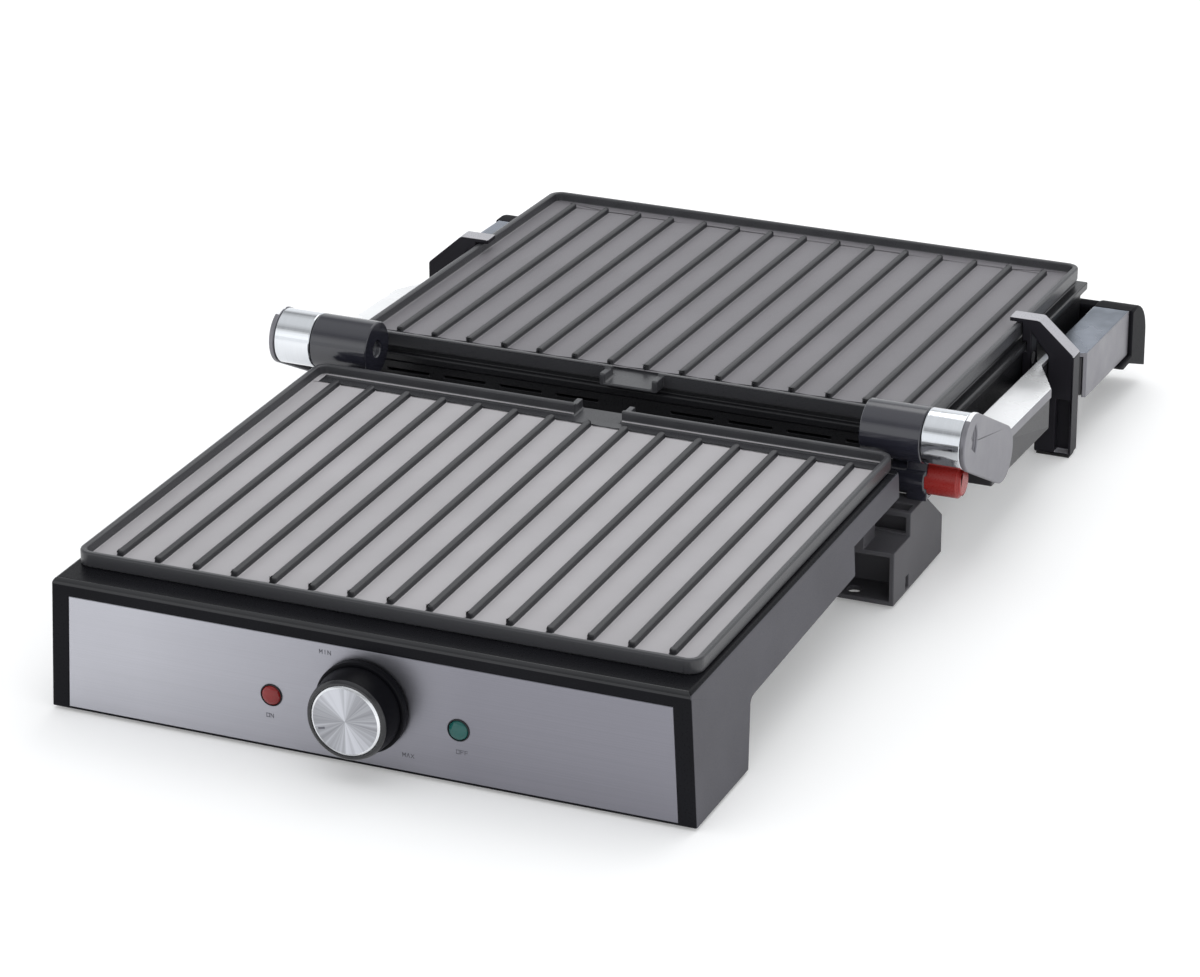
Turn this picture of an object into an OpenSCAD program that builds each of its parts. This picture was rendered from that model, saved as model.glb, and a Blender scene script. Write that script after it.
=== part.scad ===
// Contact grill that opens flat: a base with a lower plate, and a floating lid with an upper plate.
// X runs to the right, Y from the control panel to the back, Z up. Sizes are in millimetres.
// The origin lies on the table, under the middle of the grill's footprint.

/* [Cooking plates] */
// Width of each plate over its rim
plate_w = 296; // [270:1:310]
// Depth of each plate over its rim
plate_d = 243; // [225:1:250]
// Height of a plate from its seat to the top of its rim
plate_h = 7; // [6:0.5:9]
// Thickness of the rim round a plate
rim_t = 3; // [2:0.5:5]
// Radius of a plate's corners
plate_corner_r = 7; // [4:0.5:12]
// Depth of the cooking surface below the rim
surface_drop = 4.5; // [3.5:0.25:5]
// Distance from one rib to the next
rib_pitch = 18.8; // [16:0.1:20]
// Number of ribs on a plate
rib_count = 15; // [11:2:15]
// Width of a rib
rib_w = 3.2; // [2.4:0.2:5]
// Height of a rib above the cooking surface
rib_h = 2.6; // [1:0.2:3]
// Distance from a plate's outer rim to the ribs
rib_front_gap = 12; // [8:1:16]
// Distance from the ribs to the rim on the hinge side
rib_back_gap = 15; // [12:1:20]
// Width of the pouring gap in the rim
spout_w = 24; // [16:1:34]
// Length of the spout beyond the rim
spout_l = 8; // [5:1:12]
// Width of the ledge that carries a plate
seat_w = 6; // [4:0.5:8]
// Distance from a plate's side to the bend of its heater
heater_side = 41.5; // [36:0.5:50]
// Distance from a plate's front to its heater
heater_front = 56; // [50:1:70]

/* [Base] */
// Distance that the base's foot stands out beside the plate
base_ledge = 6; // [4:0.2:9]
// Distance that each side of the base leans in towards the top
base_draft = 3; // [1:0.2:4]
// Radius of the base's upper side edges
base_edge_r = 2.5; // [1:0.5:3]
// Height of the base under the plate's rim
base_h = 64; // [58:1:70]
// Distance that the control panel stands in front of the plate
nose_d = 16; // [10:1:24]
// Depth of the control box at the foot
box_d = 60; // [46:1:66]
// Distance that the control box's back leans out towards the pan
slope_d = 5; // [2:1:12]
// Free height under the front of the heater pan
pan_z = 33; // [31:0.5:36]
// Rise of the pan's underside from front to back
pan_rise = 4; // [2:0.5:6]
// Length of the recess in each rear corner of the base
recess_l = 60; // [50:1:66]
// Height of the recess above the table
recess_z = 50; // [48:0.5:50]
// Wall of the moulded shells
wall = 2.5; // [2:0.1:3]
// Radius of the control box's upper edge
nose_r = 3; // [1:0.5:5]
// Height of the rubber feet
foot_h = 1.5; // [1:0.25:3]
// Diameter of the round rubber feet
foot_dia = 14; // [10:1:18]

/* [Control panel] */
// Distance from the base's side to the steel panel
panel_margin = 8.4; // [7:0.2:14]
// Height of the steel panel
panel_h = 54; // [48:0.5:55]
// Thickness of the steel panel
panel_t = 1; // [0.6:0.1:1.5]
// Height of the panel's lower edge above the table
panel_z = 2.5; // [2:0.5:4]
// Height of the knob's axis above the table
knob_z = 31; // [27:0.5:34]
// Diameter of the knob's skirt
knob_dia = 42.5; // [38:0.5:50]
// Diameter of the knob at its face
knob_face_dia = 37.5; // [36.5:0.5:41]
// Diameter of the knob's metal cap
knob_cap_dia = 33; // [28:0.5:35]
// Length that the knob stands out
knob_l = 19; // [16:0.5:26]
// Thickness of the knob's metal cap
knob_cap_t = 3; // [2:0.5:5]
// Diameter of the thermostat's shaft
shaft_dia = 6; // [5:0.5:8]
// Distance from the knob's axis to a lamp
lamp_x = 44.5; // [34:0.5:60]
// Height of the lamps above the table
lamp_z = 27; // [20:0.5:40]
// Diameter of a lamp lens
lamp_dia = 10.5; // [8:0.5:14]

/* [Hinge] */
// Distance between the two plates when the grill lies open
hinge_gap = 42; // [40:1:50]
// Height of the hinge axis above the plate's rim
hinge_rise = 2; // [1:0.5:4]
// Diameter of the hinge barrels
barrel_dia = 27; // [22:1:30]
// Length of the fixed barrel on each side
barrel_l = 30; // [24:1:34]
// Distance between the lid's side and an arm
arm_gap = 9; // [8.5:0.5:11]
// Diameter of the hinge shaft
pin_dia = 8; // [6:0.5:10]
// Width of a hinge post
post_w = 10; // [8:0.5:14]
// Depth of a hinge post
post_d = 14; // [12:1:16]
// Distance from the front of a hinge post to the hinge axis
post_front = 1.5; // [1:0.5:3]
// Width of a rear block
block_w = 29; // [26:1:32]
// Depth of a rear block
block_d = 68; // [60:1:72]
// Distance that a rear block reaches behind the hinge axis
block_back = 29; // [26:1:32]
// Height of a rear block's front above the table
block_z = 28.5; // [28:0.5:31]
// Height of the ledge that the hinge post stands on
ledge_z = 40; // [38:0.5:40]
// Height of a rear block's back above the table
block_back_z = 21; // [18:0.5:24]

/* [Release button] */
// Diameter of the release button
button_dia = 16; // [12:0.5:16]
// Length that the button stands out of its post
button_l = 16; // [8:0.5:16]
// Depth of the button's axis below the hinge axis
button_drop = 23.5; // [23.5:0.5:24]
// Distance of the button's axis behind the hinge axis
button_aft = 6; // [5:0.5:7]

/* [Drip tray] */
// Height of the drip tray
tray_h = 24; // [16:1:26]
// Depth of the drip tray
tray_d = 45; // [38:1:48]
// Wall of the drip tray
tray_wall = 2; // [1.5:0.5:3]

/* [Arms and handle] */
// Width of an arm
arm_w = 19; // [17:0.5:21]
// Height of an arm
arm_h = 23; // [20:0.5:26]
// Thickness of the silver cover's top and sides
cover_t = 2.2; // [1.5:0.1:3]
// Height of the cover's lip in front of the bracket
lip_h = 5; // [3:0.5:8]
// Thickness of the ear beside the hinge
ear_t = 2; // [1.5:0.5:3]
// Length of the ear from the hinge axis to its round end's centre
ear_l = 52; // [46:1:58]
// Slope of the ear below the horizontal
ear_slope = 27.5; // [22:0.5:32]
// Radius of the ear's round end
ear_r = 14; // [12:0.5:16]
// Depth of the arm's top below the hinge axis, where the arm becomes level
arm_drop = 17.3; // [15:0.1:20]
// Slope of the arm behind the ear
arm_slope = 2.5; // [0:0.1:3]
// Depth of the handle behind the arms
handle_d = 26; // [22:1:32]
// Height of the handle's back above the table
handle_z = 8; // [6:0.5:14]
// Radius of the handle's upper back edge
handle_r = 20; // [12:1:24]
// Depth of the handle bar
bar_d = 16; // [14:1:20]
// Gap between the lid and the handle bar
grip_gap = 3; // [2:0.5:6]
// Width of the neck that passes through a lid bracket
neck_w = 4; // [3.5:0.5:5]

/* [Lid] */
// Tilt of the open lid
lid_tilt = 2; // [1:0.1:3]
// Height of the lid's near rim above the hinge axis
lid_rise = 0.6; // [0:0.1:2]
// Height of the lid's shell below the upper plate
lid_h = 24.5; // [22:0.5:25]
// Depth of the groove between the upper plate and the lid's flange
groove_h = 3; // [2:0.5:5]
// Thickness of the lid's flange
flange_t = 4; // [3:0.5:6]
// Distance that the flange stands out of the shell
flange_out = 2; // [1:0.5:4]
// Distance that the lid's shell stays short of the upper plate
lid_short = 2; // [2:1:10]
// Distance from the hinge axis to the lid's pivots
pivot_y = 169; // [150:1:174]
// Height of the lid's pivots above the table
pivot_z = 38; // [34:0.5:40]
// Diameter of a pivot pin
pivot_dia = 6; // [4:0.5:7]
// Depth of a lid bracket
bracket_d = 10; // [8:0.5:13]
// Height of a bracket's outer shoulder above the table
shoulder_z = 54.5; // [53:0.5:58]
// Thickness of a bracket's tab beside the lid
tab_w = 4.5; // [4:0.5:6]
// Distance that a bracket's hook reaches over the upper plate's rim
hook_l = 6; // [4:0.5:7]
// Thickness of the hook over the rim
hook_t = 2.2; // [1.6:0.2:3]

/* [Hidden] */
$fn = 64;

screw_r = 1.5;
screw_head_r = 3;
screw_head_h = 2;
base_screw_l = 12;
post_screw_l = 14;
block_screw_l = 7;
handle_screw_l = 16;
foot_inset = 24;     // from the base's side to the middle of a front foot
terminal_inset = 50; // from the base's left side to the terminal block
fuse_inset = 70;     // from the base's right side to the thermal fuse
run_gap = 0.05;      // radial clearance of a turning shaft
slip_gap = 0.5;      // clearance between pieces that slide past each other
set_gap = 0.1;       // clearance between pieces that are assembled and stay put
eps = 0.01;

base_w = plate_w + 2 * base_ledge;
shell_d = plate_d - lid_short;
shell_x = plate_w / 2 + 1;
arm_in = shell_x + arm_gap;
barrel_x = arm_in - 1;

// Places along Y are counted from the front rim of the lower plate, and moved to the origin by framed().
front_y = -nose_d;
box_back_y = front_y + box_d;
hinge_y = plate_d + hinge_gap / 2;
arm_l = hinge_gap / 2 + shell_d + grip_gap + bar_d - handle_d;
back_y = plate_d - seat_w / 2;
knob_face_y = front_y - knob_l;
handle_back_y = hinge_y + arm_l + handle_d;
origin_y = (knob_face_y + handle_back_y) / 2;

rim_z = base_h + plate_h;
hinge_z = rim_z + hinge_rise;
lid_y = hinge_y + hinge_gap / 2;
lid_z = hinge_z + lid_rise;
lid_floor = plate_h + lid_h;
arm_out = arm_in + arm_w;
neck_out = arm_in + neck_w;
knuckle_x = barrel_x + 0.4;
block_out = barrel_x - 2;
block_in = block_out - block_w;
block_y0 = hinge_y + block_back - block_d;
block_y1 = hinge_y + block_back;
column_w = 14;
recess_x = block_in - 3;
recess_y = back_y - recess_l;
pivot_row_y = hinge_y + pivot_y;

// Moves the whole grill so that the origin is under the middle of its footprint
module framed() {
    translate([0, -origin_y, 0]) children();
}

// Extrudes a side view, drawn in Y and Z, from x0 to x1
module side_view(x0, x1) {
    translate([x0, 0, 0]) rotate([90, 0, 90]) linear_extrude(x1 - x0) children();
}

// Extrudes a front view, drawn in X and Z, from y0 to y1
module front_view(y0, y1) {
    translate([0, y1, 0]) rotate([90, 0, 0]) linear_extrude(y1 - y0) children();
}

// A block between two corners
module block(low, high) {
    translate(low) cube(high - low);
}

// A cylinder along X from x0 to x1
module rod_x(r, x0, x1) {
    translate([x0, 0, 0]) rotate([0, 90, 0]) cylinder(r = r, h = x1 - x0);
}

// A cylinder along Y from y0 to y1
module rod_y(r, y0, y1) {
    translate([0, y1, 0]) rotate([90, 0, 0]) cylinder(r = r, h = y1 - y0);
}

// A rectangle with round corners, from its lower left corner
module round_rect(w, d, r) {
    translate([r, 0]) square([w - 2 * r, d]);
    translate([0, r]) square([w, d - 2 * r]);
    for (x = [r, w - r], y = [r, d - r]) translate([x, y]) circle(r);
}

// Draws a left or a right piece: side is -1 on the left and 1 on the right
module on_side(side) {
    if (side < 0) mirror([1, 0, 0]) children();
    else children();
}

// Places pieces that are drawn on the lid: near rim at y = 0, rim height at z = 0
module on_lid() {
    translate([0, lid_y, lid_z]) rotate([-lid_tilt, 0, 0]) children();
}

// Half the base's width at a height above the table
function side_x(z) = base_w / 2 - base_draft * z / base_h;

// Height of the arm's top at a distance behind the hinge axis
function arm_top(u) = hinge_z - arm_drop - (u - ear_l) * tan(arm_slope);

/* ---- plates and heaters ---- */

rib_y0 = rib_front_gap;
rib_y1 = plate_d - rib_back_gap;
gutter_y0 = rib_y1 + rib_w / 2;

// A cooking plate with its rim at z = 0, outer rim at y = 0 and spout beyond y = plate_d
module plate() {
    floor_z = -surface_drop;
    spout_out_w = spout_w + 2 * rim_t;
    inner_w = plate_w - 2 * rim_t;
    inner_d = plate_d - 2 * rim_t;
    difference() {
        union() {
            translate([-plate_w / 2, 0, -plate_h]) linear_extrude(plate_h)
                round_rect(plate_w, plate_d, plate_corner_r);
            block([-spout_out_w / 2, plate_d - rim_t, -plate_h], [spout_out_w / 2, plate_d + spout_l, -1]);
        }
        translate([-inner_w / 2, rim_t, floor_z]) linear_extrude(surface_drop + 1)
            round_rect(inner_w, inner_d, plate_corner_r - rim_t);
        block([-inner_w / 2 + rim_t, gutter_y0, floor_z - 1], [inner_w / 2 - rim_t, plate_d - rim_t - 1, 0]);
        block([-spout_w / 2, plate_d - rim_t - 2, floor_z - 1], [spout_w / 2, plate_d + spout_l + 1, 1]);
    }
    translate([0, 0, floor_z - eps]) linear_extrude(rib_h + eps)
        for (i = [0 : rib_count - 1]) translate([(i - (rib_count - 1) / 2) * rib_pitch, 0]) {
            translate([-rib_w / 2, rib_y0]) square([rib_w, rib_y1 - rib_y0]);
            translate([0, rib_y0]) circle(rib_w / 2);
            translate([0, rib_y1]) circle(rib_w / 2);
        }
}

heater_r = 3.4;
heater_w = plate_w - 2 * heater_side;
heater_bend_r = plate_d / 2 - heater_front;
heater_bend_x = heater_w / 2 - heater_bend_r;
heater_drop = plate_h + heater_r + 0.3;

// A tubular heating element with a round bend on each side, under a plate
module heater() {
    y_mid = plate_d / 2;
    translate([0, y_mid, -heater_drop]) {
        for (side = [-1, 1]) translate([side * heater_bend_x, 0, 0]) rotate([0, 0, side > 0 ? -90 : 90])
            rotate_extrude(angle = 180) translate([heater_bend_r, 0]) circle(heater_r);
        for (y = [-heater_bend_r, heater_bend_r]) translate([0, y, 0]) rod_x(heater_r, -heater_bend_x, heater_bend_x);
    }
}

reflector_drop = heater_drop + heater_r + 3;
reflector_t = 0.8;
reflector_lip = reflector_drop - plate_h;

// A dished sheet that throws the heat back, under the heater
module reflector() {
    w = plate_w - 2 * seat_w - 6;
    d = plate_d - 2 * seat_w - 14;
    y0 = seat_w + 4;
    difference() {
        block([-w / 2, y0, -reflector_drop - reflector_t], [w / 2, y0 + d, -reflector_drop + reflector_lip]);
        block([-w / 2 + reflector_t, y0 + reflector_t, -reflector_drop],
            [w / 2 - reflector_t, y0 + d - reflector_t, -reflector_drop + reflector_lip + 1]);
    }
}

clip_w = 12;

// Four sheet clips that hold the heater against its plate
module clips() {
    clip_t = 1;
    leg = heater_r + 1.2;
    clip_x = heater_bend_x - clip_w / 2 - 2;
    for (x = [-clip_x, clip_x], y = [plate_d / 2 - heater_bend_r, plate_d / 2 + heater_bend_r])
        translate([x, y, -heater_drop]) difference() {
            block([-clip_w / 2, -leg - clip_t, -heater_r - 1.5], [clip_w / 2, leg + clip_t, heater_r + 0.2]);
            block([-clip_w, -leg, -heater_r - set_gap], [clip_w, leg, heater_r + 1]);
        }
}

module lower_plate() color([0.42, 0.42, 0.44]) framed() translate([0, 0, rim_z]) plate();
module lower_heater() color([0.55, 0.53, 0.5]) framed() translate([0, 0, rim_z]) heater();
module lower_reflector() color([0.75, 0.76, 0.78]) framed() translate([0, 0, rim_z]) reflector();
module lower_clips() color([0.7, 0.7, 0.72]) framed() translate([0, 0, rim_z]) clips();

/* ---- base ---- */

panel_top_z = panel_z + panel_h;
lamp_hole_r = lamp_dia / 2 + set_gap;
shaft_hole_r = shaft_dia / 2 + 1.5;
cover_screws_y = [front_y + wall + 6, box_back_y - wall - 6];
boss_r = 4;
pan_bend = 4;
boss_h = 16;
cover_screw_x = side_x(foot_h + boss_h) - wall - boss_r - 1;

// Underside of the pan behind the control box, with a round bend
function pan_edge() = concat(
    [for (a = [180 : -15 : 90]) [box_back_y + slope_d + pan_bend * (1 + cos(a)), pan_z - pan_bend * (1 - sin(a))]],
    [[back_y, pan_z + pan_rise]]);

// Outline of the base from the side
module base_outline() {
    difference() {
        polygon(concat([[front_y, foot_h], [box_back_y, foot_h]], pan_edge(),
            [[back_y, base_h], [front_y, base_h]]));
        translate([front_y - 1, base_h - nose_r]) square([nose_r + 1, nose_r + 1]);
    }
    translate([front_y + nose_r, base_h - nose_r]) circle(nose_r);
}

// Hollow of the base from the side
module base_hollow() {
    polygon([[front_y + wall, foot_h - 1], [box_back_y - wall, foot_h - 1],
        [box_back_y + slope_d - wall, pan_z - pan_bend], [box_back_y + slope_d + pan_bend - wall, pan_z + wall],
        [back_y - wall, pan_z + pan_rise + wall], [back_y - wall, base_h - wall],
        [front_y + wall, base_h - wall]]);
}

// Section of the base from the front: drafted sides and round upper edges
module base_section() {
    r = base_edge_r;
    arc = [for (a = [0 : 15 : 90]) [side_x(base_h - r) - r + r * cos(a), base_h - r + r * sin(a)]];
    right = concat([[side_x(0), 0]], arc);
    polygon(concat(right, [for (i = [len(right) - 1 : -1 : 0]) [-right[i][0], right[i][1]]]));
}

// Section of the base's hollow from the front
module hollow_section() {
    low = side_x(0) - wall;
    high = side_x(base_h) - wall;
    polygon([[-low, 0], [low, 0], [high, base_h], [-high, base_h]]);
}

// The recess over each rear block, or the same enlarged by a wall
module rear_recesses(grow) {
    for (side = [-1, 1]) on_side(side)
        block([recess_x - grow, recess_y - grow, -1], [base_w / 2 + 1, back_y + 1, recess_z + grow]);
}

// Outline of the steel panel, smaller by a gap all round
module panel_outline(gap) {
    z0 = panel_z + gap;
    z1 = panel_top_z - gap;
    low = side_x(z0) - panel_margin - gap;
    high = side_x(z1) - panel_margin - gap;
    polygon([[-low, z0], [low, z0], [high, z1], [-high, z1]]);
}

// The holes for the knob's shaft and the lamps, through the front
module front_holes(lamp_r) {
    translate([0, 0, knob_z]) rod_y(shaft_hole_r, front_y - 1, front_y + 20);
    for (side = [-1, 1]) translate([side * lamp_x, 0, lamp_z]) rod_y(lamp_r, front_y - 1, front_y + 20);
}

module base_housing() color([0.2, 0.2, 0.22]) framed() {
    difference() {
        intersection() {
            side_view(-base_w / 2, base_w / 2) base_outline();
            front_view(front_y - 1, back_y + 1) base_section();
        }
        difference() {
            intersection() {
                side_view(-base_w / 2, base_w / 2) base_hollow();
                front_view(front_y, back_y) hollow_section();
            }
            rear_recesses(wall);
        }
        rear_recesses(0);
        block([-plate_w / 2 + seat_w, seat_w, base_h - wall - 1],
            [plate_w / 2 - seat_w, back_y - wall - 1, base_h + 1]);
        front_view(front_y - 1, front_y + panel_t) panel_outline(0);
        front_holes(lamp_hole_r);
        for (side = [-1, 1]) translate([side * block_screw_x, block_screw_y, recess_z - 1])
            cylinder(r = screw_r + set_gap, h = wall + 2);
    }
    rib_l = boss_r + 2.5;
    for (side = [-1, 1], y = cover_screws_y) translate([side * cover_screw_x, y, 0]) difference() {
        union() {
            translate([0, 0, foot_h + wall + set_gap]) cylinder(r = boss_r, h = boss_h);
            block([side > 0 ? 0 : -rib_l, -1.2, foot_h + wall + set_gap],
                [side > 0 ? rib_l : 0, 1.2, foot_h + wall + boss_h]);
        }
        cylinder(r = screw_r + set_gap, h = boss_h);
    }
}

module bottom_cover() color([0.16, 0.16, 0.17]) framed() {
    x1 = side_x(foot_h + wall) - wall - set_gap;
    vent_w = 3;
    difference() {
        block([-x1, front_y + wall + set_gap, foot_h], [x1, box_back_y - wall - set_gap, foot_h + wall]);
        for (side = [-1, 1], y = cover_screws_y) translate([side * cover_screw_x, y, foot_h - 1]) {
            cylinder(r = screw_r + set_gap, h = wall + 2);
            cylinder(r = screw_head_r + 0.3, h = 1 + screw_head_h - 0.5);
        }
        for (i = [-4 : 4]) block([i * 12 - vent_w / 2, front_y + 14, foot_h - 1],
            [i * 12 + vent_w / 2, box_back_y - 14, foot_h + wall + 1]);
    }
}

module front_panel() color([0.72, 0.73, 0.75]) framed() difference() {
    front_view(front_y, front_y + panel_t) panel_outline(set_gap);
    front_holes(lamp_hole_r);
}

module base_screws() color([0.6, 0.6, 0.6]) framed() for (side = [-1, 1], y = cover_screws_y)
    translate([side * cover_screw_x, y, foot_h]) {
        cylinder(r = screw_head_r, h = screw_head_h - 0.5);
        cylinder(r = screw_r, h = base_screw_l);
    }

foot_x = base_w / 2 - foot_inset;
foot_y = front_y + box_d / 2;
rear_foot_y = hinge_y + block_back - foot_dia / 2 - 4;

// A pair of round rubber feet
module foot_pair(x, y) {
    for (side = [-1, 1]) translate([side * x, y, 0]) cylinder(d = foot_dia, h = foot_h);
}

module front_feet() color([0.1, 0.1, 0.1]) framed() foot_pair(foot_x, foot_y);
module rear_feet() color([0.1, 0.1, 0.1]) framed() foot_pair(block_mid, rear_foot_y);

/* ---- control box ---- */

knob_back_y = front_y - 0.7;
skirt_front_y = knob_face_y + knob_cap_t;
cap_edge = 0.6;
bezel_y = knob_face_y + cap_edge;

module knob_skirt() color([0.1, 0.1, 0.11]) framed() translate([0, 0, knob_z]) difference() {
    union() {
        translate([0, knob_back_y, 0]) rotate([90, 0, 0])
            cylinder(d1 = knob_dia - 3, d2 = knob_face_dia, h = knob_back_y - bezel_y);
        rod_y(knob_dia / 2, knob_back_y - 4, knob_back_y);
    }
    rod_y(knob_cap_dia / 2 + set_gap, knob_face_y, skirt_front_y);
    rod_y(shaft_dia / 2 + run_gap, skirt_front_y + 3, knob_back_y + 1);
}

module knob_cap() color([0.85, 0.86, 0.88]) framed() translate([0, 0, knob_z]) {
    rod_y(knob_cap_dia / 2, bezel_y, skirt_front_y);
    translate([0, bezel_y, 0]) rotate([90, 0, 0])
        cylinder(d1 = knob_cap_dia, d2 = knob_cap_dia - 2 * cap_edge, h = cap_edge);
}

thermostat_y = front_y + wall + panel_t + 6;
thermostat_d = 20;

module thermostat_shaft() color([0.7, 0.7, 0.7]) framed() translate([0, 0, knob_z])
    rod_y(shaft_dia / 2, skirt_front_y + 3, thermostat_y + thermostat_d - 6);

module thermostat_body() color([0.8, 0.78, 0.7]) framed() translate([0, 0, knob_z]) difference() {
    union() {
        block([-13, thermostat_y, -11], [13, thermostat_y + thermostat_d, 13]);
        rod_y(shaft_dia / 2 + 2.5, front_y + wall, thermostat_y + eps);
    }
    rod_y(shaft_dia / 2 + run_gap, front_y, thermostat_y + thermostat_d - 5);
}

// A lamp lens: a short round stem with a domed end
module lamp_lens() {
    dome_out = 2.6;
    stem_l = wall + 4;
    r = lamp_dia / 2;
    ball_r = (r * r + dome_out * dome_out) / (2 * dome_out);
    dome_angle = asin(r / ball_r);
    dome = [for (i = [10 : -1 : 0]) let (t = dome_angle * i / 10)
        [ball_r * sin(t), stem_l + dome_out - ball_r * (1 - cos(t))]];
    translate([0, front_y + stem_l, 0]) rotate([90, 0, 0]) rotate_extrude() polygon(concat([[0, 0], [r, 0]], dome));
}

module red_lamp_lens() color([0.6, 0.08, 0.07]) framed() translate([-lamp_x, 0, lamp_z]) lamp_lens();
module green_lamp_lens() color([0.05, 0.4, 0.35]) framed() translate([lamp_x, 0, lamp_z]) lamp_lens();

holder_t = 1;
holder_gap = 4;
holder_l = 18;

module lamp_holders() color([0.85, 0.85, 0.82]) framed()
    for (side = [-1, 1]) translate([side * lamp_x, 0, lamp_z])
        rod_y(lamp_dia / 2 + holder_t, front_y + wall + holder_gap, front_y + wall + holder_gap + holder_l);

module terminal_block() color([0.9, 0.9, 0.88]) framed()
    translate([-base_w / 2 + terminal_inset, box_back_y - 22, foot_h + wall]) difference() {
        cube([36, 14, 16]);
        for (x = [6, 18, 30]) translate([x, 7, 8]) cylinder(r = 2, h = 10);
    }

module thermal_fuse() color([0.8, 0.8, 0.8]) framed()
    translate([base_w / 2 - fuse_inset, box_back_y - 15, foot_h + wall + 3]) rod_x(3, 0, 18);

/* ---- rear blocks, hinge posts and tray ---- */

block_mid = (block_in + block_out) / 2;
block_roof = 5;
block_screw_x = block_in + column_w / 2 + set_gap;
block_screw_y = (block_y0 + back_y) / 2;
post_y0 = hinge_y - post_front;
post_y1 = post_y0 + post_d;
post_drop = 43;
post_z = hinge_z - post_drop;
post_screw_x = block_out - wall - screw_head_r - set_gap - eps;
post_screw_inset = 3.2;
post_screws_y = [post_y0 + post_screw_inset, post_y1 - post_screw_inset];
ledge_run = 15.5;
ledge_y0 = post_y0 - ledge_run;
ledge_y1 = post_y0 + 6;
rail_z = 23;
rail_t = 2.6;
rail_w = 2.4;
rail_gap = 0.3;
tray_lip = 2;
tray_x = block_in - slip_gap - rail_w;
tray_z = rail_z + rail_t + rail_gap + tray_lip - tray_h;
tray_y0 = hinge_y + block_back - tray_d - 1;

// Side view of a rear block: low in front, a ledge for the hinge post, and a sloping back
module block_view() {
    polygon([[block_y0, foot_h], [block_y0, block_z], [ledge_y0, block_z], [ledge_y0, ledge_z],
        [ledge_y1, ledge_z], [block_y1, block_back_z], [block_y1, foot_h]]);
}

// A hollow rear foot with open cells, a column up to the base, a tray rail and a well for the hinge post
module rear_block() {
    cell_z = foot_h + 4;
    x0 = block_in + wall;
    x1 = block_out - wall;
    well_y0 = post_y0 - 3;
    well_y1 = post_y1 + 1;
    difference() {
        union() {
            side_view(block_in, block_out) block_view();
            block([block_in, block_y0, foot_h], [block_in + wall, block_y1, block_z]);
            block([block_in, block_y0, foot_h], [block_in + column_w, back_y, recess_z]);
            block([block_in - rail_w, tray_y0, rail_z], [block_in + eps, block_y1, rail_z + rail_t]);
        }
        block([x0, block_y0 - 1, foot_h + wall], [x1, ledge_y0 - wall, block_z - wall]);
        block([x0, ledge_y0 - 1, block_z + 1], [x1, ledge_y0 + wall + 1, ledge_z - wall]);
        block([x0, block_y0 + wall, foot_h + wall], [block_in + column_w - wall, back_y, recess_z - block_roof]);
        block([x0, ledge_y0 + wall, cell_z], [x1, well_y0 - wall, ledge_z + 1]);
        block([x0, well_y0, foot_h - 1], [x1, well_y1, post_z - block_roof]);
        block([x0, well_y1 + wall, cell_z], [x1, block_y1 - wall, ledge_z]);
        block([block_out - wall - 1, ledge_y0 - 5, foot_h + 1.5], [block_out + 1, ledge_y0 - 1, foot_h + 8]);
        post_tongue(set_gap, ledge_z + 1);
        for (y = post_screws_y) translate([post_screw_x, y, post_z - block_roof - 1])
            cylinder(r = screw_r + set_gap, h = block_roof + 2);
        translate([block_screw_x, block_screw_y, 0]) {
            translate([0, 0, recess_z - block_roof - 1]) cylinder(r = screw_r + set_gap, h = block_roof + 2);
            translate([0, 0, foot_h - 1]) cylinder(r = screw_head_r + slip_gap, h = wall + 2);
        }
    }
}

module rear_block_left() color([0.17, 0.17, 0.18]) framed() difference() {
    on_side(-1) rear_block();
    translate([-block_mid, 0, gland_z]) rod_y(gland_r + set_gap, block_y1 - wall - 1, block_y1 + 1);
}

module rear_block_right() color([0.17, 0.17, 0.18]) framed() rear_block();

gland_r = 6;
gland_bore_r = 3.7;
gland_z = 12.5;

module cord_gland() color([0.08, 0.08, 0.08]) framed() translate([-block_mid, 0, gland_z])
    difference() {
        union() {
            rod_y(gland_r, block_y1 - wall - 3, block_y1 + 3);
            rod_y(gland_r + 2, block_y1, block_y1 + 3);
        }
        rod_y(gland_bore_r, block_y1 - wall - 4, block_y1 + 4);
    }

// The foot of a hinge post that stands in the block's well, or the well itself with a gap
module post_tongue(gap, top) {
    block([barrel_x - post_w - gap, post_y0 + 1 - gap, post_z],
        [block_out - wall - set_gap + gap, post_y1 - 1 + gap, top]);
}

// A hinge post with its fixed barrel, bored for the shaft
module hinge_post() {
    difference() {
        union() {
            translate([0, hinge_y, hinge_z]) rod_x(barrel_dia / 2, barrel_x - barrel_l, barrel_x);
            block([barrel_x - post_w, post_y0, ledge_z], [barrel_x, post_y1, hinge_z]);
            post_tongue(0, ledge_z + eps);
        }
        translate([0, hinge_y, hinge_z]) rod_x(pin_dia / 2 + run_gap, barrel_x - barrel_l - 1, barrel_x + 1);
        for (y = post_screws_y) translate([post_screw_x, y, post_z - 1])
            cylinder(r = screw_r + set_gap, h = post_screw_l - block_roof + 1.5);
    }
}

button_y = hinge_y + button_aft;
button_z = hinge_z - button_drop;
button_stem_l = 8;
spring_l = 8;
button_boss_l = button_stem_l + spring_l + 2;
button_boss_t = 1.2;

module hinge_post_left() color([0.2, 0.2, 0.22]) framed() on_side(-1) hinge_post();

module hinge_post_right() color([0.2, 0.2, 0.22]) framed() difference() {
    union() {
        hinge_post();
        translate([0, button_y, button_z])
            rod_x(button_dia / 2 + button_boss_t, barrel_x - button_boss_l, barrel_x - 1);
    }
    translate([0, button_y, button_z])
        rod_x(button_dia / 2 + run_gap, barrel_x - button_stem_l - spring_l, barrel_x + 1);
}

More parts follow.
